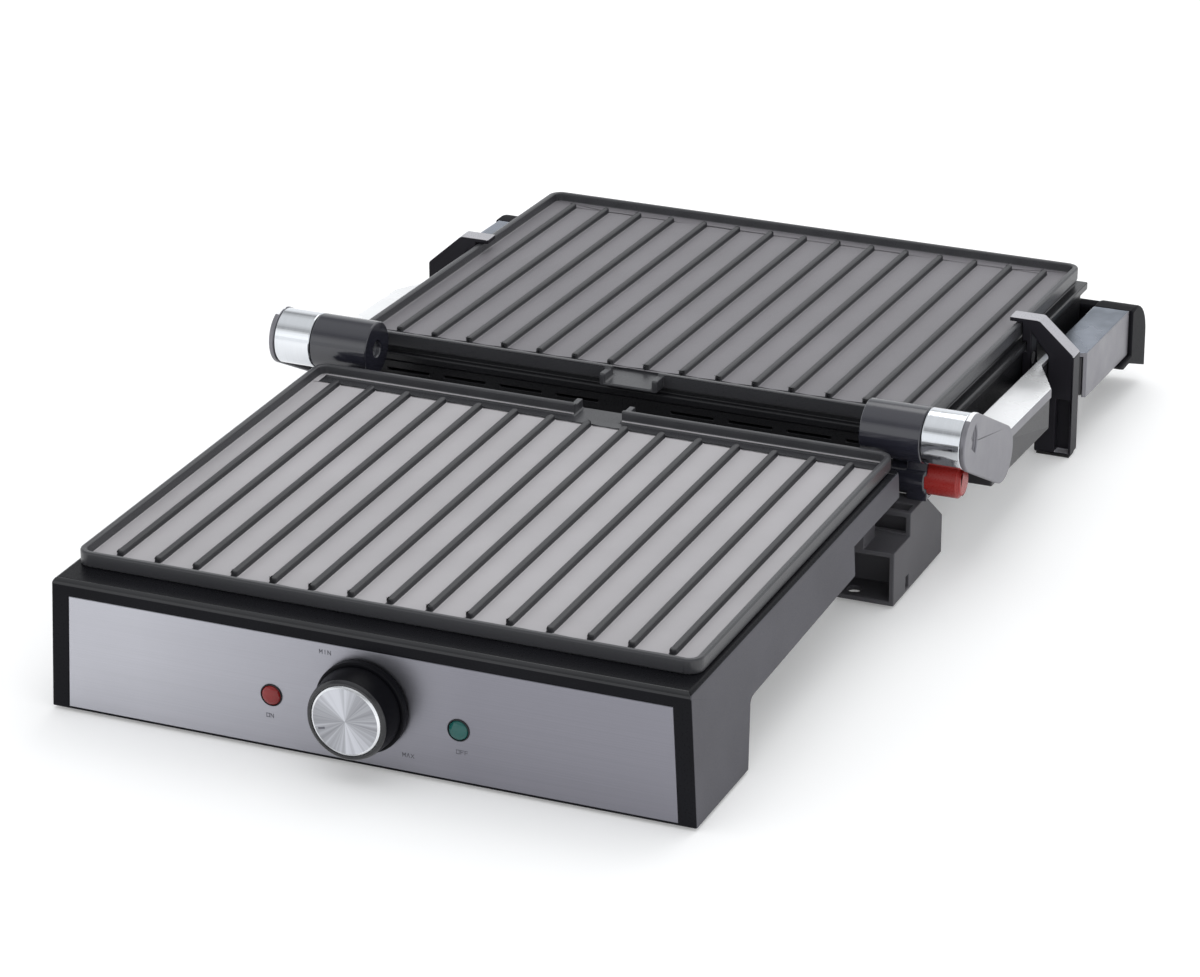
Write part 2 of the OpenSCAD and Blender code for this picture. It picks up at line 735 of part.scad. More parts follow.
module post_screws() color([0.6, 0.6, 0.6]) framed() for (side = [-1, 1]) on_side(side)
    for (y = post_screws_y) translate([post_screw_x, y, post_z - block_roof]) {
        translate([0, 0, -screw_head_h]) cylinder(r = screw_head_r, h = screw_head_h);
        translate([0, 0, -eps]) cylinder(r = screw_r, h = post_screw_l);
    }

module block_screws() color([0.6, 0.6, 0.6]) framed() for (side = [-1, 1])
    translate([side * block_screw_x, block_screw_y, recess_z - block_roof]) {
        translate([0, 0, -screw_head_h]) cylinder(r = screw_head_r, h = screw_head_h);
        translate([0, 0, -eps]) cylinder(r = screw_r, h = block_screw_l);
    }

module release_button() color([0.75, 0.14, 0.12]) framed() translate([0, button_y, button_z]) {
    rod_x(button_dia / 2, barrel_x - button_stem_l, barrel_x + button_l - 1.5);
    rod_x(button_dia / 2 - 1.5, barrel_x + button_l - 1.5 - eps, barrel_x + button_l);
}

module release_spring() color([0.75, 0.75, 0.75]) framed()
    translate([barrel_x - button_stem_l - spring_l, button_y, button_z]) rotate([0, 90, 0])
        translate([0, 0, set_gap]) linear_extrude(spring_l - 2 * set_gap, twist = 4 * 360, slices = 64)
            translate([button_dia / 2 - 2.5, 0]) circle(0.9, $fn = 8);

module drip_tray() color([0.2, 0.2, 0.21]) framed() {
    y1 = tray_y0 + tray_d;
    top = tray_z + tray_h;
    difference() {
        block([-tray_x, tray_y0, tray_z], [tray_x, y1, top]);
        block([-tray_x + tray_wall, tray_y0 + tray_wall, tray_z + tray_wall],
            [tray_x - tray_wall, y1 - tray_wall, top + 1]);
    }
    for (side = [-1, 1]) on_side(side)
        block([tray_x - eps, tray_y0, top - tray_lip], [tray_x + rail_w, y1, top]);
    block([-30, y1 - eps, top - 3], [30, y1 + 9, top]);
}

/* ---- arms and handle ---- */

ear_end_u = ear_l * cos(ear_slope);
core_r = ear_r - 5.5;
cover_u0 = ear_end_u + 6;
notch_lead = 39;
notch_gap = 8;
notch_y1 = pivot_row_y - bracket_d / 2 - notch_gap;
notch_y0 = notch_y1 - notch_lead;
notch_y2 = pivot_row_y + bracket_d / 2 + 3;
notch_y3 = notch_y2 + 8;

// Outline of the ear: a strap with round ends, from the hinge axis along the ear's slope
module ear_outline() {
    steps = 24;
    points = [for (i = [0 : 2 * steps + 1]) let (half = i > steps ? 1 : 0, turn = 90 + 180 * (i - half) / steps)
        [ear_r * cos(turn) + half * ear_l, ear_r * sin(turn)]];
    translate([hinge_y, hinge_z]) rotate(-ear_slope) polygon(points);
}

// The level stretch of an arm, from u0 to u1 behind the hinge, between two depths below its top
module level_run(u0, u1, d0, d1) {
    polygon([[hinge_y + u0, arm_top(u0) - d0], [hinge_y + u1, arm_top(u1) - d0],
        [hinge_y + u1, arm_top(u1) - d1], [hinge_y + u0, arm_top(u0) - d1]]);
}

// The side notch that leaves the neck inside a lid bracket
module arm_notch() {
    linear_extrude(hinge_z + 40) polygon([[arm_out + 4, notch_y0], [neck_out, notch_y1], [neck_out, notch_y2],
        [arm_out + 4, notch_y3]]);
}

// Height of a line along the ear at a distance behind the hinge axis, offset upwards from the ear's axis
function ear_line(u, offset) = hinge_z + (offset - u * sin(ear_slope)) / cos(ear_slope);

// Side view of an arm's core: a bar beside the ear, then the level stretch under the cover
module arm_core_view() {
    u1 = cover_u0 - set_gap;
    u2 = ear_end_u - 4;
    under = cover_t + set_gap;
    translate([hinge_y, 0]) polygon([[core_r * sin(ear_slope), hinge_z + core_r * cos(ear_slope)],
        [u1, ear_line(u1, core_r)], [u1, arm_top(u1) - under], [arm_l, arm_top(arm_l) - under],
        [arm_l, arm_top(arm_l) - arm_h], [u2, arm_top(u2) - arm_h], [u2, ear_line(u2, -core_r)],
        [-core_r * sin(ear_slope), hinge_z - core_r * cos(ear_slope)]]);
}

module arm_core() difference() {
    side_view(arm_in, arm_out - cover_t - set_gap) arm_core_view();
    translate([0, hinge_y, hinge_z]) rod_x(barrel_dia / 2 + set_gap, arm_in - 1, arm_out);
    arm_notch();
    translate([0, pivot_row_y, pivot_z]) rod_x(pivot_dia / 2 + run_gap, arm_in - 1, arm_out);
    handle_screw_holes();
}

module arm_cover() {
    rear_u0 = notch_y2 - hinge_y;
    slot_in = 5;
    slot_out = 12;
    slot_back = 7;
    difference() {
        union() {
            side_view(arm_out - 0.5, arm_out + ear_t) ear_outline();
            side_view(arm_in, arm_out) level_run(cover_u0, arm_l, 0, cover_t);
            side_view(arm_out - cover_t, arm_out) level_run(cover_u0, rear_u0, 0, lip_h);
            side_view(arm_out - cover_t, arm_out) level_run(rear_u0, arm_l, 0, arm_h + 1);
        }
        arm_notch();
        translate([arm_out + 0.5, hinge_y - slot_back, hinge_z + 1]) rotate([0, 90, 0]) rotate([0, 0, 52])
            rotate_extrude(angle = 76) translate([slot_in, 0]) square([slot_out - slot_in, ear_t]);
    }
}

module arm_core_left() color([0.14, 0.14, 0.15]) framed() on_side(-1) arm_core();
module arm_core_right() color([0.14, 0.14, 0.15]) framed() arm_core();
module arm_cover_left() color([0.78, 0.78, 0.8]) framed() on_side(-1) arm_cover();
module arm_cover_right() color([0.78, 0.78, 0.8]) framed() arm_cover();

knuckle_end = arm_out - 0.5 - set_gap;

// A bright knuckle that turns with the arm, closed at its outer end
module knuckle() translate([0, hinge_y, hinge_z]) difference() {
    rod_x(barrel_dia / 2, knuckle_x, knuckle_end);
    rod_x(pin_dia / 2, knuckle_x - 1, knuckle_end - 3);
}

module knuckle_left() color([0.85, 0.86, 0.88]) framed() on_side(-1) knuckle();
module knuckle_right() color([0.85, 0.86, 0.88]) framed() knuckle();

module hinge_shaft() translate([0, hinge_y, hinge_z]) rod_x(pin_dia / 2, barrel_x - barrel_l + 2, knuckle_end - 3);
module hinge_shaft_left() color([0.6, 0.6, 0.62]) framed() on_side(-1) hinge_shaft();
module hinge_shaft_right() color([0.6, 0.6, 0.62]) framed() hinge_shaft();

handle_screw_u = arm_l - 8;
handle_tab_t = 3.5;
handle_screw_x = arm_in + arm_w / 2 - 1;
handle_back = hinge_y + arm_l + handle_d;
handle_top = arm_top(arm_l);
handle_under = handle_top - arm_h - 1 - set_gap;
handle_screw_z = handle_under - handle_tab_t;

// Holes for a handle screw, through the handle's tab and up into the arm
module handle_screw_holes() {
    translate([handle_screw_x, hinge_y + handle_screw_u, handle_screw_z - 1])
        cylinder(r = screw_r + set_gap, h = handle_screw_l + 2);
}

// The handle's round upper back edge, from an angle down to the vertical back
function handle_arc(angle) = let (r = min(handle_r, handle_d - 1))
    [for (a = [angle : -10 : 0]) [handle_back - r * (1 - cos(a)), handle_top - r * (1 - sin(a))]];

// Side view of a handle end: it carries on the arm's line and turns down to the table
module handle_end_view() {
    y0 = hinge_y + arm_l + set_gap;
    polygon(concat([[y0, handle_top]], handle_arc(90), [[handle_back, handle_z], [y0 - 3, handle_screw_z],
        [y0 - 13, handle_screw_z], [y0 - 19, handle_under], [y0, handle_under]]));
}

module handle_end() difference() {
    side_view(arm_in, arm_out + ear_t) handle_end_view();
    handle_screw_holes();
}

module handle_end_left() color([0.15, 0.15, 0.16]) framed() on_side(-1) handle_end();
module handle_end_right() color([0.15, 0.15, 0.16]) framed() handle_end();

module handle_bar() color([0.13, 0.13, 0.14]) framed() side_view(-arm_in, arm_in) {
    y0 = handle_back - bar_d;
    polygon(concat([[y0, handle_top - 5]], handle_arc(60),
        [[handle_back, handle_z], [y0 + 4, handle_z], [y0, handle_z + 4]]));
}

module handle_screws() color([0.6, 0.6, 0.6]) framed() for (side = [-1, 1]) on_side(side)
    translate([handle_screw_x, hinge_y + handle_screw_u, handle_screw_z]) {
        translate([0, 0, -screw_head_h]) cylinder(r = screw_head_r, h = screw_head_h);
        cylinder(r = screw_r, h = handle_screw_l);
    }

/* ---- lid ---- */

flange_x = shell_x + flange_out;
flange_z = -plate_h - groove_h;

module upper_housing() color([0.13, 0.13, 0.14]) framed() difference() {
    on_lid() difference() {
        union() {
            block([-plate_w / 2 + 2, 2, flange_z - 1], [plate_w / 2 - 2, plate_d - 2, -plate_h]);
            block([-flange_x, -1, flange_z - flange_t], [flange_x, plate_d + 3, flange_z]);
            block([-shell_x, 0, -lid_floor], [shell_x, shell_d, flange_z - 1]);
        }
        block([-shell_x + wall, wall, -lid_floor + wall], [shell_x - wall, shell_d - wall, flange_z - 1]);
        block([-plate_w / 2 + seat_w, seat_w, flange_z - 2],
            [plate_w / 2 - seat_w, shell_d - wall, -plate_h + 1]);
        block([-lid_panel_w / 2, lid_panel_y0, -lid_floor - 1],
            [lid_panel_w / 2, lid_panel_y1, -lid_floor + panel_t]);
        for (i = [-4 : 4], z = [-lid_floor + 7, -lid_floor + 12]) if (i != 0)
            block([i * 30 - 11, -2, z], [i * 30 + 11, wall + 1, z + 1.4]);
    }
    for (side = [-1, 1]) on_side(side) translate([0, pivot_row_y, bracket_screw_z])
        rod_x(screw_r + set_gap, shell_x - wall - 1, shell_x + 1);
}

lid_panel_w = plate_w - 26;
lid_panel_y0 = 12;
lid_panel_y1 = shell_d - 12;

module lid_panel() color([0.72, 0.73, 0.75]) framed() on_lid()
    block([-lid_panel_w / 2 + set_gap, lid_panel_y0 + set_gap, -lid_floor],
        [lid_panel_w / 2 - set_gap, lid_panel_y1 - set_gap, -lid_floor + panel_t]);

// Turns what is drawn under a plate round, so that the spout is on the hinge side of the lid
module turned() {
    translate([0, plate_d, 0]) mirror([0, 1, 0]) children();
}

module upper_plate() color([0.36, 0.36, 0.38]) framed() on_lid() turned() plate();
module upper_heater() color([0.55, 0.53, 0.5]) framed() on_lid() turned() heater();
module upper_reflector() color([0.75, 0.76, 0.78]) framed() on_lid() turned() reflector();
module upper_clips() color([0.7, 0.7, 0.72]) framed() on_lid() turned() clips();

tab_in = shell_x + set_gap;
tab_out = tab_in + tab_w;
leg_in = neck_out + slip_gap;
leg_out = arm_out - 1;
pivot_row_drop = (pivot_row_y - lid_y) * tan(lid_tilt);
rim_top_z = lid_z - pivot_row_drop;
hook_z = rim_top_z + 0.4;
strip_z = hook_z + hook_t;
strip_out = tab_out + 4;
flange_high_z = rim_top_z + flange_z;
flange_low_z = flange_high_z - flange_t;
window_top = arm_top(pivot_y) + 2.5;
window_low = arm_top(pivot_y) - arm_h - 2;
arch_z = strip_z - 7;
bracket_screw_z = flange_low_z - 5;
pad_h = 1.5;

// A lid bracket: a tab on the lid's side, a hook over the plate's rim, an arch over the neck and a leg
module bracket_view() {
    side = flange_x + set_gap;
    rim = plate_w / 2 + 0.6;
    polygon([[tab_in, pivot_z - 6], [tab_in, flange_low_z - 0.6], [side, flange_low_z - 0.6],
        [side, flange_high_z + 0.6], [rim, flange_high_z + 0.6], [rim, hook_z], [plate_w / 2 - hook_l, hook_z],
        [plate_w / 2 - hook_l, strip_z], [strip_out, strip_z], [leg_out, shoulder_z], [leg_out, pad_h],
        [arm_in - 1, pad_h], [arm_in - 1, window_low], [leg_in, window_low], [leg_in, window_top],
        [tab_out, arch_z], [tab_out, pivot_z - 6]]);
}

module lid_bracket() difference() {
    union() {
        front_view(pivot_row_y - bracket_d / 2, pivot_row_y + bracket_d / 2) bracket_view();
        translate([0, pivot_row_y, pivot_z]) rod_x(bracket_d / 2, tab_out - eps, arm_in - slip_gap);
    }
    translate([0, pivot_row_y, pivot_z]) rod_x(pivot_dia / 2, tab_in + 2, leg_out - 3);
    block([leg_in + 5, pivot_row_y - bracket_d / 2 - 1, pad_h + 1], [leg_out - 1.2, pivot_row_y, pivot_z - pivot_dia - 1]);
    translate([0, pivot_row_y, bracket_screw_z]) {
        rod_x(screw_r + set_gap, tab_in - 1, tab_out + 1);
        rod_x(screw_head_r + set_gap, tab_out - screw_head_h - set_gap, tab_out + 1);
    }
}

module lid_bracket_left() color([0.14, 0.14, 0.15]) framed() on_side(-1) lid_bracket();
module lid_bracket_right() color([0.14, 0.14, 0.15]) framed() lid_bracket();

module pivot_pin() translate([0, pivot_row_y, pivot_z]) rod_x(pivot_dia / 2, tab_in + 2, leg_out - 3);
module pivot_pin_left() color([0.7, 0.7, 0.72]) framed() on_side(-1) pivot_pin();
module pivot_pin_right() color([0.7, 0.7, 0.72]) framed() pivot_pin();

module bracket_pads() color([0.08, 0.08, 0.08]) framed() for (side = [-1, 1]) on_side(side)
    block([arm_in, pivot_row_y - bracket_d / 2 + 1, 0], [leg_out - 1, pivot_row_y + bracket_d / 2 - 1, pad_h]);

module bracket_screws() color([0.6, 0.6, 0.6]) framed() for (side = [-1, 1]) on_side(side)
    translate([0, pivot_row_y, bracket_screw_z]) {
        rod_x(screw_r, shell_x - wall - 4, tab_out - screw_head_h);
        rod_x(screw_head_r, tab_out - screw_head_h, tab_out - set_gap);
    }

base_housing();
bottom_cover();
front_panel();
lower_plate();
lower_heater();
lower_reflector();
lower_clips();
thermostat_body();
terminal_block();
thermal_fuse();
lamp_holders();
red_lamp_lens();
green_lamp_lens();
rear_block_left();
rear_block_right();
hinge_post_left();
hinge_post_right();
cord_gland();
front_feet();
rear_feet();
base_screws();
post_screws();
block_screws();
knob_skirt();
knob_cap();
thermostat_shaft();
release_button();
release_spring();
drip_tray();
hinge_shaft_left();
hinge_shaft_right();
knuckle_left();
knuckle_right();
arm_core_left();
arm_core_right();
arm_cover_left();
arm_cover_right();
handle_bar();
handle_end_left();
handle_end_right();
handle_screws();
upper_housing();
lid_panel();
upper_plate();
upper_heater();
upper_reflector();
upper_clips();
lid_bracket_left();
lid_bracket_right();
bracket_pads();
pivot_pin_left();
pivot_pin_right();
bracket_screws();
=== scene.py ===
import math
import bpy
import bmesh
from mathutils import Matrix, Vector


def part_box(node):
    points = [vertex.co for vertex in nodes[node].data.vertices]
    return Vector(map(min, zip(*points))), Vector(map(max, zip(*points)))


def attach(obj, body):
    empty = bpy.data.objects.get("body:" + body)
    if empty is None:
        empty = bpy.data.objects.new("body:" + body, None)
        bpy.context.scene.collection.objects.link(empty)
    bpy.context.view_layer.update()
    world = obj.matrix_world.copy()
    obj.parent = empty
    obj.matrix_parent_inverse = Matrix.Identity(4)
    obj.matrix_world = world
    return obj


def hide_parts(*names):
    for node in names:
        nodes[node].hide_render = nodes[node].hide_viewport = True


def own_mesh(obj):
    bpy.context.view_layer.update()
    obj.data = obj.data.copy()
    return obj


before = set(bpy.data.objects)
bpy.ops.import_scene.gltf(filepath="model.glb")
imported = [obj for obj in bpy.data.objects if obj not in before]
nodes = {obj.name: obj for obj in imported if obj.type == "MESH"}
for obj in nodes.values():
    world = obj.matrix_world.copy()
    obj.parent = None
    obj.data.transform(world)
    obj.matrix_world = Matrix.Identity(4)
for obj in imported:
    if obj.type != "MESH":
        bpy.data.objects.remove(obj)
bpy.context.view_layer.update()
scene = bpy.context.scene
print("grill: packed frame loaded,", len(nodes), "nodes")

# angles in degrees, distance and target in metres, lens in millimetres
view = {"azimuth": 23.122, "elevation": 23.358, "roll": -0.195, "distance": 2.1329,
        "target": (0.018131, -0.055, 0.048601), "lens": 137.404}


def placeCamera(settings):
    az, el = math.radians(settings["azimuth"]), math.radians(settings["elevation"])
    back = Vector((math.sin(az) * math.cos(el), -math.cos(az) * math.cos(el), math.sin(el)))
    # back points from the target to the camera
    right = Vector((0, 0, 1)).cross(back).normalized()
    up = back.cross(right)
    turn = Matrix((right, up, back)).transposed().to_4x4()
    turn = turn @ Matrix.Rotation(math.radians(settings["roll"]), 4, "Z")
    lens = bpy.data.cameras.new("camera")
    lens.lens = settings["lens"]
    lens.sensor_width = 36
    lens.sensor_fit = "HORIZONTAL"
    lens.clip_end = 50
    holder = bpy.data.objects.new("camera", lens)
    place = Matrix.Translation(Vector(settings["target"]) + back * settings["distance"])
    holder.matrix_world = place @ turn
    scene.collection.objects.link(holder)
    scene.camera = holder


placeCamera(view)
print("camera placed")


def startMaterial(name, colour, roughness, metallic=0.0):
    material = bpy.data.materials.new(name)
    material.use_nodes = True
    shader = material.node_tree.nodes["Principled BSDF"]
    shader.inputs["Base Color"].default_value = (*colour, 1)
    shader.inputs["Roughness"].default_value = roughness
    shader.inputs["Metallic"].default_value = metallic
    return material, material.node_tree.nodes, material.node_tree.links, shader


def objectPlace(tree, links, scale=(1, 1, 1), centre=(0, 0, 0)):
    coordinates = tree.new("ShaderNodeTexCoord")
    mapping = tree.new("ShaderNodeMapping")
    mapping.vector_type = "TEXTURE"  # this type divides by the scale
    mapping.inputs["Location"].default_value = centre
    mapping.inputs["Scale"].default_value = tuple(1 / s for s in scale)
    links.new(coordinates.outputs["Object"], mapping.inputs["Vector"])
    return mapping.outputs["Vector"]


def noise(tree, links, place, scale, detail=3.0, roughness=0.5):
    texture = tree.new("ShaderNodeTexNoise")
    texture.inputs["Scale"].default_value = scale
    texture.inputs["Detail"].default_value = detail
    texture.inputs["Roughness"].default_value = roughness
    links.new(place, texture.inputs["Vector"])
    return texture.outputs["Fac"]


def spread(tree, links, value, low, high, fromLow=0.3, fromHigh=0.7):
    stretch = tree.new("ShaderNodeMapRange")
    stretch.inputs["From Min"].default_value = fromLow
    stretch.inputs["From Max"].default_value = fromHigh
    stretch.inputs["To Min"].default_value = low
    stretch.inputs["To Max"].default_value = high
    links.new(value, stretch.inputs["Value"])
    return stretch.outputs["Result"]


def ramp(tree, links, value, dark, light):
    colours = tree.new("ShaderNodeValToRGB")
    colours.color_ramp.elements[0].position = 0.3
    colours.color_ramp.elements[0].color = (*dark, 1)
    colours.color_ramp.elements[1].position = 0.7
    colours.color_ramp.elements[1].color = (*light, 1)
    links.new(value, colours.inputs["Fac"])
    return colours.outputs["Color"]


def blend(tree, links, amount, first, second):
    mix = tree.new("ShaderNodeMix")
    mix.data_type = "RGBA"
    links.new(amount, mix.inputs["Factor"])
    links.new(first, mix.inputs["A"])
    links.new(second, mix.inputs["B"])
    return mix.outputs["Result"]


def relief(tree, links, value, strength, distance, shader):
    bump = tree.new("ShaderNodeBump")
    bump.inputs["Strength"].default_value = strength
    bump.inputs["Distance"].default_value = distance
    links.new(value, bump.inputs["Height"])
    links.new(bump.outputs["Normal"], shader.inputs["Normal"])


def along(tree, links, axis, low, high):
    split = tree.new("ShaderNodeSeparateXYZ")
    links.new(objectPlace(tree, links), split.inputs["Vector"])
    return spread(tree, links, split.outputs[axis], 0.0, 1.0, low, high)


def shade(colour, factor):
    return tuple(min(1.0, c * factor) for c in colour)


def tone(tree, links, value, colour, darker, lighter):
    return ramp(tree, links, value, shade(colour, darker), shade(colour, lighter))


def uneven(tree, links, value, shader, roughness, less, more):
    links.new(spread(tree, links, value, roughness - less, roughness + more), shader.inputs["Roughness"])


plasticLook = {"clouds": 22, "darker": 0.86, "lighter": 1.12, "smoother": 0.06, "rougher": 0.08}


def mouldedPlastic(name, colour, roughness, grain=2600, depth=0.00006, strength=0.25, gloss=0.5):
    look = plasticLook
    material, tree, links, shader = startMaterial(name, colour, roughness)
    shader.inputs["Specular IOR Level"].default_value = gloss
    place = objectPlace(tree, links)
    fine = noise(tree, links, place, grain, 2.0)  # grain of the mould
    broad = noise(tree, links, place, look["clouds"], 3.0)  # slow change of tone
    links.new(tone(tree, links, broad, colour, look["darker"], look["lighter"]), shader.inputs["Base Color"])
    uneven(tree, links, fine, shader, roughness, look["smoother"], look["rougher"])
    relief(tree, links, fine, strength, depth, shader)
    return material


brushLook = {"smoother": 0.07, "rougher": 0.09, "depth": 0.00004}


def brushedMetal(name, colour, roughness, grain=(4, 1400, 1400), metallic=1.0, contrast=0.10, strength=0.12):
    look = brushLook
    material, tree, links, shader = startMaterial(name, colour, roughness, metallic)
    streaks = noise(tree, links, objectPlace(tree, links, grain), 1.0, 4.0, 0.6)
    links.new(tone(tree, links, streaks, colour, 1 - contrast, 1 + contrast), shader.inputs["Base Color"])
    uneven(tree, links, streaks, shader, roughness, look["smoother"], look["rougher"])
    relief(tree, links, streaks, strength, look["depth"], shader)
    return material


# the panel's colour is painted light at the left, fading to painted shade at the right along X, over real
# brushed streaks
sheetLook = {"grain": (6, 900, 2600), "paintedShadeFade": (-0.11, 0.05), "left": (0.95, 1.05), "right": (0.94, 1.06),
             "smoother": 0.05, "rougher": 0.07, "strength": 0.05, "depth": 0.00003}


def panelMetalPaintedShade(name, litLeftColour, shadedRightColour, roughness):
    look = sheetLook
    material, tree, links, shader = startMaterial(name, litLeftColour, roughness, 1.0)
    streaks = noise(tree, links, objectPlace(tree, links, look["grain"]), 1.0, 4.0, 0.6)
    reach = along(tree, links, "X", *look["paintedShadeFade"])
    left = tone(tree, links, streaks, litLeftColour, *look["left"])
    right = tone(tree, links, streaks, shadedRightColour, *look["right"])
    links.new(blend(tree, links, reach, left, right), shader.inputs["Base Color"])
    uneven(tree, links, streaks, shader, roughness, look["smoother"], look["rougher"])
    relief(tree, links, streaks, look["strength"], look["depth"], shader)
    return material


# the cover's top is painted near-white at the front as a painted highlight, and mottled blue-grey at the rear
# as painted reflections, blended along Y; the mottle also roughens and bumps it
coverLook = {"grain": (55, 42, 55), "darker": 0.94, "paintedLightFade": (0.165, 0.185), "metalFade": (0.10, 0.18),
             "uneven": 0.08, "strength": 0.12, "depth": 0.0004}


def coverMetalPaintedReflection(name, front, rearReflectionDark, rearReflectionLight, roughness):
    look = coverLook
    material, tree, links, shader = startMaterial(name, front, roughness, 1.0)
    place = objectPlace(tree, links, look["grain"])
    mottle = noise(tree, links, place, 1.0, 2.5, 0.45)
    rear = ramp(tree, links, mottle, rearReflectionDark, rearReflectionLight)
    highlightFront = ramp(tree, links, mottle, shade(front, look["darker"]), front)
    reach = along(tree, links, "Y", *look["paintedLightFade"])
    links.new(blend(tree, links, reach, highlightFront, rear), shader.inputs["Base Color"])
    uneven(tree, links, mottle, shader, roughness, look["uneven"], look["uneven"])
    links.new(along(tree, links, "Y", *look["metalFade"]), shader.inputs["Metallic"])
    relief(tree, links, mottle, look["strength"], look["depth"], shader)
    return material


coatingLook = {"specks": 3200, "clouds": 14, "darker": 0.93, "lighter": 1.06, "smoother": 0.08,
               "rougher": 0.1, "strength": 0.12, "depth": 0.00005}


def coating(name, colour, roughness):
    look = coatingLook
    material, tree, links, shader = startMaterial(name, colour, roughness)
    place = objectPlace(tree, links)
    specks = noise(tree, links, place, look["specks"], 2.0, 0.7)
    cloud = noise(tree, links, place, look["clouds"], 4.0, 0.55)
    links.new(tone(tree, links, cloud, colour, look["darker"], look["lighter"]), shader.inputs["Base Color"])
    uneven(tree, links, specks, shader, roughness, look["smoother"], look["rougher"])
    relief(tree, links, specks, look["strength"], look["depth"], shader)
    return material


def calculate(tree, links, operation, first, second=None, third=None):
    step = tree.new("ShaderNodeMath")
    step.operation = operation
    for i, value in enumerate((first, second, third)):
        if isinstance(value, (int, float)):
            step.inputs[i].default_value = value
        elif value is not None:
            links.new(value, step.inputs[i])
    return step.outputs[0]


spunLook = {"rays": 5.0, "narrowHighlight": 3.0, "highlightSweep": 0.34, "streaks": 0.75, "darker": 0.62, "lighter": 1.3,
            "strength": 0.12, "depth": 0.0001}


# the face carries a painted highlight, two bright wedges at the given angle, added to the real radial
# spinning streaks
def spunMetalPaintedHighlight(name, colour, roughness, centreZ, highlightAngle):
    look = spunLook
    material, tree, links, shader = startMaterial(name, colour, roughness, 1.0)
    split = tree.new("ShaderNodeSeparateXYZ")
    links.new(objectPlace(tree, links, centre=(0, 0, centreZ)), split.inputs["Vector"])
    angle = calculate(tree, links, "ARCTAN2", split.outputs["X"], split.outputs["Z"])
    turned = calculate(tree, links, "MULTIPLY_ADD", angle, 2.0, -2 * math.radians(highlightAngle))
    broad = calculate(tree, links, "COSINE", turned)  # painted highlight: two bright wedges, opposite each other
    half = calculate(tree, links, "MULTIPLY_ADD", broad, 0.5, 0.5)
    narrowHighlight = calculate(tree, links, "POWER", half, look["narrowHighlight"])
    rays = tree.new("ShaderNodeTexNoise")
    rays.noise_dimensions = "1D"
    rays.inputs["Scale"].default_value = look["rays"]
    rays.inputs["Detail"].default_value = 5.0
    rays.inputs["Roughness"].default_value = 0.6
    links.new(angle, rays.inputs["W"])
    streaks = calculate(tree, links, "MULTIPLY", rays.outputs["Fac"], look["streaks"])
    highlightSweep = calculate(tree, links, "MULTIPLY_ADD", narrowHighlight, look["highlightSweep"], streaks)
    links.new(tone(tree, links, highlightSweep, colour, look["darker"], look["lighter"]), shader.inputs["Base Color"])
    relief(tree, links, rays.outputs["Fac"], look["strength"], look["depth"], shader)
    return material


